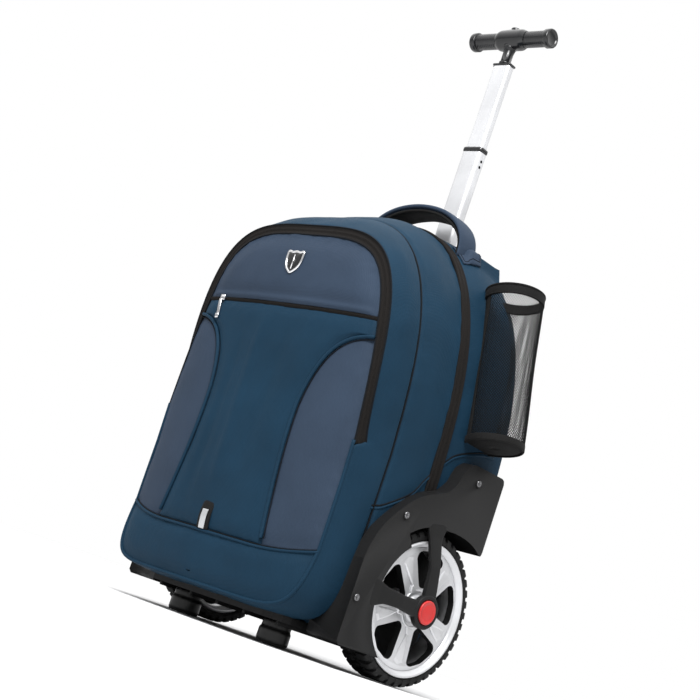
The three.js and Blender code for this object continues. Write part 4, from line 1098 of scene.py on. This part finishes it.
def leaned(local):
    p = np.asarray(local, float)
    x = p[..., 0] * math.cos(LEAN) - p[..., 2] * math.sin(LEAN)
    z = p[..., 0] * math.sin(LEAN) + p[..., 2] * math.cos(LEAN)
    return np.stack([x, p[..., 1], z], -1) + POCKET_FOOT


def cup_radius(angle, height):
    return POCKET_RADIUS - 0.8 + 0.7 * np.sin(2 * angle + 0.6) + 0.5 * np.sin(height / 26 + angle)


def outside_bag(points):
    """True where a point isn't inside the main form by more than 2 mm."""
    keep = []
    for p in place(points):
        hit = top_tree.ray_cast(Vector(p) + Vector((0.002, 0, 0)), Vector((1, 0, 0)))
        keep.append(not (hit[0] and hit[1].x > 0))
    return np.array(keep)


def net_strands():
    strands, cell_wide, cell_high = 66, 2 * math.pi / 66, 3.9
    heights = np.arange(3, NET_TOP, 2.4)
    parts = []
    for family, twist in enumerate((1, -1)):
        for i in range(strands):
            angle = i * cell_wide + twist * heights / cell_high * cell_wide
            over = 0.32 * np.cos(math.pi * (heights / cell_high + i) + family * math.pi)
            r = cup_radius(angle, heights) + over
            line = leaned(np.stack([r * np.cos(angle), r * np.sin(angle), heights], 1))
            keep = outside_bag(line)
            start = None
            for k in range(len(line) + 1):
                inside = k < len(line) and keep[k]
                if inside and start is None:
                    start = k
                if not inside and start is not None:
                    if k - start > 2:
                        parts.append(cord_mesh(line[start:k], 0.42, 3, up=(0, 0.13, 1)))
                    start = None
    return joined(parts)


def pocket_ring(low, high, out, inner):
    profile = arc_profile([(low, inner), (low, out), (high, out), (high, inner), (low, inner)], 1.2, 3)
    points, faces = lathe([*profile, profile[0]], 72, axis="z")
    local = points.copy()
    local[:, :2] *= 1 + 0.008 * np.sin(2 * np.arctan2(points[:, 1], points[:, 0]) + 0.6)[:, None]
    return leaned(local), faces


def net_binding(angle, width):
    v = np.linspace(0, NET_TOP, 60)
    u = np.linspace(-0.5, 0.5, 7)
    a = math.radians(angle) + u[None] * width / POCKET_RADIUS
    r = cup_radius(a, v[:, None]) + 0.9 - 0.5 * (2 * np.abs(u[None])) ** 4
    grid = leaned(np.stack([r * np.cos(a), r * np.sin(a), v[:, None] + 0 * a], -1))
    return shell_mesh(grid, 1.4, False, lambda g: g - leaned(np.array([0, 0, 98.0])))


net = net_strands()
pocket_rim = pocket_ring(POCKET_HEIGHT - 12, POCKET_HEIGHT, 36.4, 33.0)
lip_angle = angles(90)
rim_rolls = joined([cord_mesh(leaned(np.stack([35.9 * np.cos(lip_angle), 35.9 * np.sin(lip_angle),
                                               np.full(90, h)], 1)), r, 8, closed=True)
                    for h, r in ((POCKET_HEIGHT - 0.4, 1.5), (POCKET_HEIGHT - 11.6, 1.0))])
foot_part = joined([pocket_ring(-2, 6.5, 36.2, 33.6), net_binding(-118, 8), net_binding(52, 3.5)])
base_a = angles(72)
base_grid = np.stack([leaned(np.stack([r * np.cos(base_a), r * np.sin(base_a), np.full(72, h)], 1))
                      for r, h in ((35, 1), (33, -0.6), (22, -1.4), (10, -1.7), (0.6, -1.8))])
base_part = shell_mesh(base_grid, 1.2, True, facing(0.2, 0.0, -1.0))
for name, side in SIDES.items():
    parts = [sided(p, side) for p in (net, joined([pocket_rim, rim_rolls]), foot_part, base_part)]
    piece(f"net_{name}", *parts[0], "bag", net_yarn, "black_net", [f"mesh_pocket_{name}"])
    piece(f"net_rim_{name}", *parts[1], "bag", webbing, "black_webbing", [f"mesh_pocket_rim_{name}"])
    piece(f"net_foot_{name}", *parts[2], "bag", webbing, "black_webbing", [f"mesh_pocket_foot_{name}"])
    piece(f"net_base_{name}", *parts[3], "bag", net_yarn, "black_net")

# Back pad and shoulder straps

PAD_HALF, PAD_FOOT, PAD_TOP = 118, BAG_BOTTOM + 0.353 * BAG_HEIGHT, BAG_BOTTOM + 0.911 * BAG_HEIGHT


def back_pad():
    a = angles(240)
    half_height = (PAD_TOP - PAD_FOOT) / 2
    border = np.stack([PAD_HALF * signed_power(np.cos(a), 0.35),
                       half_height * signed_power(np.sin(a), 0.28)], 1)
    shares = np.concatenate([np.linspace(0.02, 0.9, 50), np.linspace(0.915, 1, 14)])
    x = border[None, :, 0] * shares[:, None]
    v = border[None, :, 1] * shares[:, None]
    z = (PAD_TOP + PAD_FOOT) / 2 + v
    edge = np.clip((1 - shares[:, None]) / 0.1, 0, 1)
    thick = 1.5 + 10.5 * np.sqrt(1 - (1 - edge) ** 2)
    for row in (-78, -26, 26, 78):
        thick = thick - 3.6 * np.exp(-((v - row) / 4.5) ** 2) * edge
    thick = thick - 4.0 * np.exp(-(x / 6) ** 2) * edge
    thick = thick + 0.5 * ripple(np.stack([x, 0 * x, z], -1), 30, 2.7)
    grid = np.stack([x, back_y(z) + thick, z], -1)
    base = np.stack([x, back_y(z) - 1.5, z], -1)[::-1]
    made = piece("back_pad_quilted", *capped(np.concatenate([grid, base])), "bag", pad_mesh, "black_webbing",
                 ["back_pad"])


back_pad()

STRAP_LINE = [(0.3, 0.98), (0.44, 0.8), (0.6, 0.58), (0.66, 0.36), (0.6, 0.14)]


def strap_grid(width, thick, lift, sides=32):
    line = smooth_line([(out * PAD_HALF, PAD_FOOT + up * (PAD_TOP - PAD_FOOT)) for out, up in STRAP_LINE], 80)
    tangent = unit(np.gradient(line, axis=0))
    b = angles(sides)
    u = signed_power(np.cos(b), 0.5) * width / 2
    v = signed_power(np.sin(b), 0.7) * thick / 2
    v = v - 1.1 * np.exp(-((np.abs(u) - width / 2 + 6) / 2.0) ** 2) * (v > 0)
    x = line[:, :1] - tangent[:, 1:] * u[None]
    z = line[:, 1:] + tangent[:, :1] * u[None]
    y = back_y(line[:, 1:]) + (back_y(z) - back_y(line[:, 1:])) + 12.6 + lift + v[None]
    return np.stack([x, y, z], -1)


for name, side in SIDES.items():
    parts = [sided(capped(grid), side) for grid in (strap_grid(57, 9.4, 5), strap_grid(24, 1.6, 10.2, 16))]
    strap = piece(f"strap_{name}", *parts[0], "bag", pad_mesh, "black_webbing", [f"shoulder_strap_{name}"])
    piece(f"strap_tape_{name}", *parts[1], "bag", edging_and_shade, "black_webbing")

# Wheel guards: a tray round each wheel, open behind, with two arms to the hub carrier

WHEEL_INSIDE, WHEEL_OUTSIDE = 139, 181
GUARD_OUTSIDE = 187
CARRIER_OUTSIDE = 197
INNER_HALF = 130
GUARD_EDGE = [(1, 0), (1, 0.39), (0.985, 0.46), (0.945, 0.54), (0.88, 0.615), (0.805, 0.68), (0.73, 0.732),
              (0.65, 0.768), (0.57, 0.795), (0.49, 0.82), (0.445, 0.85), (0.415, 0.885), (0.4, 0.925),
              (0.375, 0.965), (0.325, 0.996), (0.28, 1), (0.03, 1), (0, 0.985), (0, 0)]
COVER_RADIUS = WHEEL_RADIUS - 12.6 + 1.5


def guard_outline():
    length, height = GUARD_BACK - GUARD_FRONT, GUARD_TOP - GUARD_FOOT
    p = np.array([(GUARD_BACK - f * length, GUARD_FOOT + u * height) for f, u in GUARD_EDGE])
    upper = smooth_line(p[1:16], 110)
    corner = [(GUARD_BACK - 6, GUARD_TOP), (GUARD_BACK - 1.8, GUARD_TOP - 1.8), (GUARD_BACK, GUARD_TOP - 6)]
    return np.vstack([[p[0] + [4, 0]], [p[0] + [0, 4]], upper, corner, [p[-1]]])


def inset_loop(points, distance):
    """A closed outline moved inward, with its points kept."""
    p = np.asarray(points, float)
    before = unit(p - np.roll(p, 1, 0))
    after = unit(np.roll(p, -1, 0) - p)
    area = np.sum(p[:, 0] * np.roll(p[:, 1], -1) - np.roll(p[:, 0], -1) * p[:, 1])
    turn = 1 if area > 0 else -1
    n1 = np.stack([-before[:, 1], before[:, 0]], 1) * turn
    n2 = np.stack([-after[:, 1], after[:, 0]], 1) * turn
    n = n1 + n2
    n /= np.maximum(np.sum(n * n1, axis=1, keepdims=True), 0.5)
    return p + n * distance


def disc(radius, count=96):
    return circle(radius, count) + [0, WHEEL_RADIUS]


def guard_part():
    outline = guard_outline()
    outer = scratch(*prism(outline, WHEEL_INSIDE, GUARD_OUTSIDE))
    cut(outer, scratch(*prism(inset_loop(outline, 2.5), WHEEL_INSIDE - 2, GUARD_OUTSIDE - 2.5)))
    cut(outer, scratch(*prism(wheel_space(0), WHEEL_INSIDE - 4, GUARD_OUTSIDE - 2.5)))
    a0, a1 = math.radians(128), math.radians(238 - 360)
    far = 300
    wedge = [(0, WHEEL_RADIUS), (far * math.cos(a1), WHEEL_RADIUS + far * math.sin(a1)),
             (far, WHEEL_RADIUS - far), (far, WHEEL_RADIUS + far),
             (far * math.cos(a0), WHEEL_RADIUS + far * math.sin(a0))]
    rear = scratch(*prism(wedge, 100, GUARD_OUTSIDE + 20))
    cut(rear, scratch(*prism(wheel_space(0), 90, GUARD_OUTSIDE + 40)), "INTERSECT")
    cut(outer, rear)
    cut(outer, scratch(*prism(disc(COVER_RADIUS), 100, GUARD_OUTSIDE + 20)))
    lining = scratch(*prism(wheel_space(2.5), INNER_HALF + 0.3, GUARD_OUTSIDE - 2))
    cut(lining, scratch(*prism(wheel_space(0), INNER_HALF + 2.8, GUARD_OUTSIDE)))
    cut(lining, scratch(*prism(outline, INNER_HALF - 5, GUARD_OUTSIDE + 5)), "INTERSECT")
    return [outer, lining]


def arm_part(side_line, width_at, thick_at, x_at):
    """An arm along a (y, z) line: a soft-edged bar whose width, thickness and X change along it."""
    line = smooth_line(side_line, 40)
    t = np.linspace(0, 1, 40)
    tangent = unit(np.gradient(line, axis=0))
    normal = np.stack([-tangent[:, 1], tangent[:, 0]], 1)
    b = angles(24)
    u = signed_power(np.cos(b), 0.35)
    v = signed_power(np.sin(b), 0.35)
    half = np.interp(t, *width_at)[:, None] / 2
    thick = np.interp(t, *thick_at)[:, None] / 2
    x = np.interp(t, *x_at)[:, None] + v[None] * thick
    y = line[:, :1] + normal[:, :1] * u[None] * half
    z = line[:, 1:] + normal[:, 1:] * u[None] * half
    return capped(np.stack([x, y, z], -1))


def carrier_part():
    low, high = CARRIER_OUTSIDE - 9, CARRIER_OUTSIDE - 0.2
    profile = arc_profile([(low, 14.3), (low, 20), (high, 20), (high, 14.3), (low, 14.3)], 2.2, 4)
    return lathe([*profile, profile[0]], 72, (0, 0, WHEEL_RADIUS))


upper_arm_line = [(-16, WHEEL_RADIUS + ARCH + 6), (-12, WHEEL_RADIUS + 78), (-5, WHEEL_RADIUS + 48),
                  (0, WHEEL_RADIUS + 16)]
front_arm_line = [(-COVER_RADIUS - 12, WHEEL_RADIUS + 1), (-62, WHEEL_RADIUS + 2), (-38, WHEEL_RADIUS + 1),
                  (-14, WHEEL_RADIUS)]
arm_x = ([0, 0.2, 0.6, 1],
         [GUARD_OUTSIDE - 2.7, GUARD_OUTSIDE - 2.0, CARRIER_OUTSIDE - 5.4, CARRIER_OUTSIDE - 4.8])
arm_thick = ([0, 0.3, 1], [5, 6.5, 8])
arms = [arm_part(upper_arm_line, ([0, 0.12, 0.25, 0.6, 1], [36, 30, 20, 15.5, 20]), arm_thick, arm_x),
        arm_part(front_arm_line, ([0, 0.15, 0.3, 0.6, 1], [38, 30, 20, 16.5, 20]), arm_thick, arm_x)]
hub_back = lathe([(CARRIER_OUTSIDE - 3, 6.3), (CARRIER_OUTSIDE - 3, 14.6), (CARRIER_OUTSIDE - 8.5, 14.6),
                  (CARRIER_OUTSIDE - 8.5, 6.3), (CARRIER_OUTSIDE - 3, 6.3)], 48, (0, 0, WHEEL_RADIUS))
inner_boss = lathe([(INNER_HALF + 2.6, 6.3), (INNER_HALF + 2.6, 12), (WHEEL_INSIDE - 1.5, 12),
                    (WHEEL_INSIDE - 1.5, 6.3), (INNER_HALF + 2.6, 6.3)], 40, (0, 0, WHEEL_RADIUS))
bag_front_cut = scratch(*capped(np.stack([face_ring + [0, -30, 0], face_ring, ring_of("zip_rear"),
                                          ring_of("front_swell"), ring_of("seam"), ring_of("main_swell"),
                                          ring_of("main_zip"), ring_of("rear_swell"), ring_of("back_edge")])))
bag_well = scratch(*prism(wheel_space(2.6), 120, 240))
cut(bag_front_cut, bag_well)


def taken(obj):
    """An object's points, in millimetres, and faces; the object is removed."""
    points = np.array([(v.co.x / MM, (v.co.y - AXLE_Y) / MM, v.co.z / MM) for v in obj.data.vertices])
    faces = [tuple(p.vertices) for p in obj.data.polygons]
    bpy.data.objects.remove(obj, do_unlink=True)
    return points, faces


guard_parts = []
bag_room = taken(bag_front_cut)
for body in guard_part():
    cut(body, scratch(*bag_room))
    guard_parts.append(taken(body))
guard_shape = joined(guard_parts)

SCREWS = [("rear", 0.235, 0.925), ("middle", 0.77, 0.645), ("front", 0.955, 0.22)]
for name, side in SIDES.items():
    plate = sided(guard_shape, side)
    rest = sided(joined([*arms, carrier_part(), hub_back, inner_boss]), side)
    guard = piece(f"guard_{name}", *plate, "bag", chassis, "black_plastic", [f"wheel_housing_{name}"])
    bevelled(guard, 1.0)
    piece(f"guard_arms_{name}", *rest, "bag", chassis, "black_plastic")
    cap = lathe([(CARRIER_OUTSIDE - 1.7, 0.05), (CARRIER_OUTSIDE - 1.7, 14), (CARRIER_OUTSIDE + 0.5, 14),
                 (CARRIER_OUTSIDE + 1.2, 13.4), (CARRIER_OUTSIDE + 1.3, 11.4), (CARRIER_OUTSIDE + 0.8, 11.0),
                 (CARRIER_OUTSIDE + 1.2, 8), (CARRIER_OUTSIDE + 1.5, 0.05)], 64, (0, 0, WHEEL_RADIUS))
    piece(f"red_cap_{name}", *sided(cap, side), "bag", red_plastic, "red_cap",
          [f"hub_cap_{name}"])
    for label, forward, share in SCREWS:
        y = GUARD_BACK - forward * (GUARD_BACK - GUARD_FRONT)
        z = GUARD_FOOT + share * (GUARD_TOP - GUARD_FOOT)
        g = GUARD_OUTSIDE
        head = lathe([(g + 0.2, 0.05), (g + 0.2, 4.1), (g + 1.0, 4.0), (g + 1.6, 3.3), (g + 1.9, 2.1),
                      (g + 1.0, 1.9), (g + 0.9, 0.05)], 40, (0, y, z))
        seat = lathe([(g - 0.1, 3.9), (g - 0.1, 5.6), (g + 0.6, 5.3), (g + 0.7, 4.7), (g + 0.3, 4.3),
                      (g + 0.3, 3.9), (g - 0.1, 3.9)], 40, (0, y, z))
        piece(f"screw_{label}_{name}", *sided(head, side), "bag", screw_steel, "bright_metal",
              [f"guard_screw_{label}_{name}"])
        piece(f"screw_seat_{label}_{name}", *sided(seat, side), "bag", chassis, "black_plastic")

# Wheels

LUGS = 42
TYRE_SEAT = WHEEL_RADIUS - 12.6
# Sections of a lug and of a middle knob: distance from the wheel's middle plane, and depth below the tread
LUG = [(21.1, 9.5), (21.3, 4.2), (19.8, 1.0), (17.5, 0), (5.0, 0), (4.0, 0.8), (3.6, 3.8), (17.5, 4.6),
       (19.6, 9.5)]
KNOB = [(-4.5, 0.6), (4.5, 0.6), (5.2, 3.6), (-5.2, 3.6)]
SPOKES = 5
# Raised facets of a spoke, as (radius, half width) loops: its blade and its root
FACETS = [[(29, 0), (44, -4.6), (61.5, -8.4), (65.2, 0), (61.5, 8.4), (44, 4.6)],
          [(22, -5), (30, -2), (30, 2), (22, 5)]]
# Corners of the window between two spokes, as (radius, degrees)
WINDOW = [(26.5, -11), (60, -23), (65, -21), (67.6, -16), (69.0, 0), (67.6, 16), (65, 21), (60, 23),
          (26.5, 11), (24.5, 0)]


def tyre_part():
    tread = WHEEL_RADIUS - 3.0
    s = TYRE_SEAT
    profile = [(-18.6, s + 0.4), (-20.6, s + 3), (-21, tread - 3.5), (-19.2, tread - 0.8), (-15, tread),
               (15, tread), (19.2, tread - 0.8), (21, tread - 3.5), (20.6, s + 3.2), (20.2, s + 2.6),
               (19.6, s + 2.2), (18.9, s + 0.4), (-18.6, s + 0.4)]
    parts = [lathe(profile, 128)]
    pitch = 2 * math.pi / LUGS
    for i in range(LUGS):
        for row in (1, -1):
            middle = (i + (0.5 if row < 0 else 0)) * pitch
            a = np.linspace(middle - 0.29 * pitch, middle + 0.29 * pitch, 4)
            lug = [(row * x, WHEEL_RADIUS - drop) for x, drop in LUG]
            parts.append(capped(np.stack([[(x, r * math.cos(t), r * math.sin(t)) for x, r in lug]
                                          for t in a])))
        t = (i + 0.25) * pitch
        knob = [(x, WHEEL_RADIUS - drop) for x, drop in KNOB]
        parts.append(capped(np.stack([[(x, r * math.cos(q), r * math.sin(q)) for x, r in knob]
                                      for q in (t - 0.12 * pitch, t + 0.12 * pitch)])))
    groove = [(20.75, s + 6.2), (21.25, s + 6.5), (21.25, s + 7.0), (20.75, s + 7.3), (20.75, s + 6.2)]
    parts.append(lathe(groove, 128))
    return joined(parts)


def rim_parts():
    s = TYRE_SEAT
    barrel = lathe([(-18.4, s - 0.2), (18.6, s - 0.2), (20.4, s + 1.2), (21.9, s + 0.8), (22.6, s - 0.6),
                    (22.2, s - 2.0), (20.6, s - 2.6), (20.2, s - 3.6), (19.2, s - 4.2), (18.8, s - 5.4),
                    (14, s - 6.8), (9, s - 7.2), (-18.4, s - 5.6), (-18.4, s - 0.2)], 128)
    a = angles(120)
    plate = scratch(*capped(np.stack([
        np.stack([np.full(120, x), r * np.cos(a), r * np.sin(a)], 1)
        for x, r in ((8.4, s - 6.4), (16.6, s - 6.4), (17.8, s - 12), (17.2, 30), (17.4, 17))])))
    for i in range(SPOKES):
        middle = math.radians(-90 + (i + 0.5) * 360 / SPOKES)
        window = [(r * math.cos(middle + math.radians(t)), r * math.sin(middle + math.radians(t)))
                  for r, t in WINDOW]
        cut(plate, scratch(*prism(smooth_window(window), 0, 30)))
    points, faces = taken(plate)
    facets = []
    for i in range(SPOKES):
        t = math.radians(-90 + i * 360 / SPOKES)
        for shape in FACETS:
            low = [(15.0, r * math.cos(t) - w * math.sin(t), r * math.sin(t) + w * math.cos(t))
                   for r, w in shape]
            mid = [(18.6 - 0.8 * (r > 55), y, z) for (r, _), (_, y, z) in zip(shape, low)]
            cy, cz = np.mean([p[1] for p in low]), np.mean([p[2] for p in low])
            high = [(x + 0.9, cy + (y - cy) * 0.72, cz + (z - cz) * 0.72) for x, y, z in mid]
            facets.append(capped(np.array([low, mid, high])))
    hub = lathe([(-21, 6.6), (-21, 15), (-17, 17), (18, 17), (21.5, 14.5), (22, 12), (22, 6.6),
                 (-21, 6.6)], 64)
    ribs = lathe([(17.2, 20), (18.8, 20.4), (18.8, 22.4), (17.2, 22.8), (17.2, 20)], 96)
    return (points, faces), barrel, joined(facets), joined([hub, ribs])


def smooth_window(points):
    return [tuple(p) for p in arc_profile([*points, points[0], points[1]], 3.0, 4)[4:-1]]


def on_wheel(part, side):
    points, faces = part
    return sided((np.asarray(points, float) + [WHEEL_MIDDLE, 0, WHEEL_RADIUS], faces), side)


tyre = tyre_part()
disc_part, barrel_part, facet_part, hub_part = rim_parts()
for name, side in SIDES.items():
    piece(f"tyre_lugs_{name}", *on_wheel(tyre, side), f"wheel_{name}", tyre_rubber, "tyre_rubber",
          [f"tyre_{name}"], smooth=False)
    spokes = piece(f"spokes_{name}", *on_wheel(disc_part, side), f"wheel_{name}", rim_paint, "silver_rim",
                   [f"rim_{name}"], smooth=False)
    spokes.data.materials.append(chassis)
    for face in spokes.data.polygons:
        face.material_index = 0 if face.normal.x * side > 0.5 else 1
    bevelled(spokes, 1.1, 3)
    piece(f"rim_ring_{name}", *on_wheel(barrel_part, side), f"wheel_{name}", rim_paint, "silver_rim")
    piece(f"spoke_facets_{name}", *on_wheel(facet_part, side), f"wheel_{name}", rim_paint, "silver_rim",
          smooth=False)
    piece(f"hub_{name}", *on_wheel(hub_part, side), f"wheel_{name}", rim_paint, "silver_rim")

# Feet, base and axles

FOOT_X, FOOT_Y = 80, -105

for name, side in SIDES.items():
    profile = arc_profile([(0, 0.05), (0, 17.5), (3.5, 19), (16, 19), (19, 17.2), (27.3, 17.2),
                           (27.3, 0.05)], 3.2, 5)
    foot = lathe(profile, 64, (side * FOOT_X, FOOT_Y, 0), "z")
    piece(f"foot_cup_{name}", *foot, "bag", foot_rubber, "foot_rubber", [f"foot_{name}"])
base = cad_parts["base_plate"]
coat(base, chassis)
bevelled(base, 2.0, 3)
ribs = []
for x in (-105, -48, 0, 48, 105):
    ribs.append(block((x, -32, 25.8), (5, 200, 5.2), 1.2))
for x in (-64, -32, 32, 64):
    ribs.append(block((x, 62, 26.2), (16, 7, 4.2), 1.5))
piece("base_ribs", *joined(ribs), "bag", chassis, "black_plastic")
for name in ("axle_right", "axle_left"):
    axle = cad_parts[name]
    coat(axle, steel)
    bevelled(axle, 0.6)

# Telescopic pole and its grip

def tube_part(width, depth, wall, low, high, lead=0.6):
    """An open tube with rounded corners and soft ends."""
    outer = rounded(width, depth, min(width, depth) * 0.32, 8)
    inner = rounded(width - 2 * wall, depth - 2 * wall, min(width, depth) * 0.32 - wall * 0.6, 8)
    led = outer * [1 - 2 * lead / width, 1 - 2 * lead / depth]
    rows = [(led, low), (outer, low + lead), (outer, high - lead), (led, high), (inner, high), (inner, low)]
    return looped(np.stack([np.column_stack([p, np.full(len(p), z)]) for p, z in rows]) + [0, POLE_Y, 0])


# Width, depth and wall of each tube
OUTER_TUBE = (38, 22, 2.3)
LOWER_TUBE = (32.2, 16.2, 1.3)
UPPER_TUBE = (28.4, 12.4, 1.3)
OUTER_TOP = BAG_TOP + 5
LOWER_TOP = OUTER_TOP + 138
UPPER_TOP = LOWER_TOP + 128
GRIP_Z = UPPER_TOP + 40
piece("outer_tube_sleeve", *joined([
    tube_part(*OUTER_TUBE, BAG_BOTTOM + 1, OUTER_TOP - 0.2),
    tube_part(46, 28, 6.2, OUTER_TOP - 3.4, OUTER_TOP, 0.9)]),
    "bag", chassis, "black_plastic", ["outer_tube"], smooth=False)
bevelled(piece("pole_lower", *tube_part(*LOWER_TUBE, LOWER_TOP - 440, LOWER_TOP), "lower_pole", aluminium,
               "pole_aluminium", ["lower_tube"], smooth=False), 0.2, 1)
# Two near-black discs on the lower tube stand for its lock holes: painted shade inside the holes, which are not
# cut.
hole_shades = []
for z in (LOWER_TOP - 12, LOWER_TOP - 20):
    hole_shades.append(lathe([(16.25, 0.05), (16.25, 2.0), (15.6, 2.0), (15.6, 0.05)], 28, (0, POLE_Y, z)))
piece("pole_lock_hole_shades", *joined(hole_shades), "lower_pole", edging_and_shade, "grip_plastic")
piece("pole_collar", *tube_part(33.8, 17.8, 2.1, LOWER_TOP + 0.3, LOWER_TOP + 6.3, 1.0), "lower_pole", gloss,
      "grip_plastic", ["lower_tube_collar"])
bevelled(piece("pole_upper", *tube_part(*UPPER_TUBE, UPPER_TOP - 430, UPPER_TOP), "upper_pole", aluminium,
               "pole_aluminium", ["upper_tube"], smooth=False), 0.2, 1)
cap_top = [block((0, POLE_Y, UPPER_TOP + 1.8), (29.6, 13.6, 3), 1.0),
           block((0, POLE_Y, UPPER_TOP + 1.0), (33.5, 6.5, 2.0), 0.8)]
piece("pole_cap", *joined(cap_top), "upper_pole", gloss, "grip_plastic", ["upper_tube_cap"])


GRIP_HALF = 58


def grip_parts():
    end = GRIP_HALF
    profile = [(-end, 0.05), (-end, 10.4)]
    x = -end + 1.0
    while x < end - 1:
        profile += [(x, 11.0), (x + 2.2, 11.0), (x + 2.5, 10.65), (x + 2.9, 10.65)]
        x += 3.2
    profile += [(end, 10.4), (end, 0.05)]
    bar = lathe(profile, 64, (0, POLE_Y, GRIP_Z))
    stem = [(UPPER_TOP + 3.6, 0.05), (UPPER_TOP + 3.6, 8.2), (UPPER_TOP + 5.6, 8.4), (UPPER_TOP + 6.2, 7.2),
            (GRIP_Z - 20, 7.2), (GRIP_Z - 14, 8.2), (GRIP_Z - 9, 11), (GRIP_Z - 9, 0.05)]
    neck = lathe(stem, 48, (0, POLE_Y, 0), "z")
    a = angles(64)
    rings = []
    for t in np.linspace(0, 1, 30):
        radius = 14.3 - 2.6 * (1 - math.sin(math.pi * min(t * 6, 1, (1 - t) * 6) / 2))
        hump = 1.6 * math.exp(-((t - 0.5) / 0.28) ** 2)
        r = radius + hump * np.maximum(np.sin(a), 0) ** 6
        lean = 3.0 * np.cos(a) * (t > 0.5) * ((t - 0.5) / 0.5) ** 2
        rings.append(np.stack([-23 + 46 * t - lean, POLE_Y + r * np.cos(a), GRIP_Z + r * np.sin(a)], 1))
    clamp = capped(np.array(rings))
    return bar, neck, clamp


bar_part, neck_part, clamp_part = grip_parts()
button_well = lathe([(GRIP_Z + 7.6, 0.05), (GRIP_Z + 7.6, 7.5), (GRIP_Z + 30, 7.5), (GRIP_Z + 30, 0.05)], 48,
                    (0, POLE_Y, 0), "z")
cut(piece("handle_bar", *bar_part, "upper_pole", gloss, "grip_plastic", ["grip_bar"]), scratch(*button_well))
clamp = piece("handle_clamp", *clamp_part, "upper_pole", gloss, "grip_plastic", ["grip_clamp"])
cut(clamp, scratch(*button_well))
clamp.data.set_sharp_from_angle(angle=SHARP_EDGE)
piece("handle_neck", *neck_part, "upper_pole", gloss, "grip_plastic")
for name, side in SIDES.items():
    profile = [(58.2, 0.05), (58.2, 12.2), (59.0, 13), (65.4, 13), (66.6, 12.4), (67, 11.2), (66.6, 10.0),
               (65.0, 9.4), (64.4, 8.6), (64.4, 0.05)]
    cap = lathe(profile, 64, (0, POLE_Y, GRIP_Z))
    piece(f"handle_end_{name}", *sided(cap, side), "upper_pole", gloss, "grip_plastic",
          [f"grip_cap_{name}"])
button = arc_profile([(GRIP_Z + 11.4, 0.05), (GRIP_Z + 11.4, 6.9), (GRIP_Z + 17, 6.9),
                      (GRIP_Z + 17, 0.05)], 1.6, 4)
piece("press_button", *lathe(button, 48, (0, POLE_Y, 0), "z"), "release_button", gloss, "grip_plastic",
      ["grip_button"])

# Floor, light and camera

FLOOR_HALF = 40
floor_mesh = bpy.data.meshes.new("floor")
floor_corners = [(x * FLOOR_HALF, y * FLOOR_HALF, -0.001) for x, y in ((-1, -1), (1, -1), (1, 1), (-1, 1))]
floor_mesh.from_pydata(floor_corners, [], [(0, 1, 2, 3)])
floor = bpy.data.objects.new("floor", floor_mesh)
bpy.context.collection.objects.link(floor)
floor.data.materials.append(moulded("pale_floor", (0.69, 0.69, 0.693), rough=0.7, bump_strength=0.0,
                                    specular=0.1, mottle=0.0))

world = bpy.data.worlds.new("studio")
bpy.context.scene.world = world
world.use_nodes = True
bpy.context.scene.view_settings.view_transform = "Standard"


def studio_light():
    """A soft dome, brighter overhead, in front of a plain white background."""
    tree = world.node_tree
    dome = tree.nodes["Background"]
    direction = node(tree, "ShaderNodeTexCoord").outputs["Generated"]
    height = node(tree, "ShaderNodeSeparateXYZ", {"Vector": direction}).outputs["Z"]
    strength = node(tree, "ShaderNodeMapRange", {
        "Value": height, "From Min": -0.1, "From Max": 1.0, "To Min": 0.15, "To Max": 2.05})
    tree.links.new(strength.outputs[0], dome.inputs["Strength"])
    dome.inputs["Color"].default_value = (1, 1, 1, 1)
    white = node(tree, "ShaderNodeBackground", {"Color": (1, 1, 1, 1), "Strength": 1.0})
    seen = node(tree, "ShaderNodeLightPath").outputs["Is Camera Ray"]
    both = node(tree, "ShaderNodeMixShader", {0: seen, 1: dome.outputs[0], 2: white.outputs[0]})
    tree.links.new(both.outputs[0], tree.nodes["World Output"].inputs["Surface"])


studio_light()


def area_light(name, at, aim, size, power):
    data = bpy.data.lights.new(name, "AREA")
    data.shape = "RECTANGLE"
    data.size, data.size_y = size
    data.energy = power
    light = bpy.data.objects.new(name, data)
    bpy.context.collection.objects.link(light)
    light.location = at
    light.rotation_euler = (Vector(at) - Vector(aim)).to_track_quat("Z", "Y").to_euler()


area_light("key", (0.9, -1.3, 1.9), (0, 0, 0.4), (1.2, 1.2), 42)
area_light("upper_front", (0.55, -0.7, 1.15), (0.04, -0.1, 0.5), (0.5, 0.5), 11)

AZIMUTH, ELEVATION, ROLL = (math.radians(v) for v in (45.73, -10.67, 19.07))
DISTANCE = 1800
AIM = np.array([17.63, -77.47, 363.21])
FOCAL_PIXELS = 1473.8
IMAGE_WIDTH = 700
SENSOR = 36
back = np.array([math.sin(AZIMUTH) * math.cos(ELEVATION), -math.cos(AZIMUTH) * math.cos(ELEVATION),
                 math.sin(ELEVATION)])
right = np.array([math.cos(AZIMUTH), math.sin(AZIMUTH), 0])
up = np.cross(back, right)
camera_right = math.cos(ROLL) * right + math.sin(ROLL) * up
camera_up = -math.sin(ROLL) * right + math.cos(ROLL) * up
camera_data = bpy.data.cameras.new("camera")
camera_data.sensor_width = SENSOR
camera_data.lens = FOCAL_PIXELS / IMAGE_WIDTH * SENSOR
camera = bpy.data.objects.new("camera", camera_data)
bpy.context.collection.objects.link(camera)
turn = Matrix([[camera_right[i], camera_up[i], back[i]] for i in range(3)]).to_4x4()
camera.matrix_world = Matrix.Translation(Vector(place(AIM + back * DISTANCE)[0])) @ turn
bpy.context.scene.camera = camera
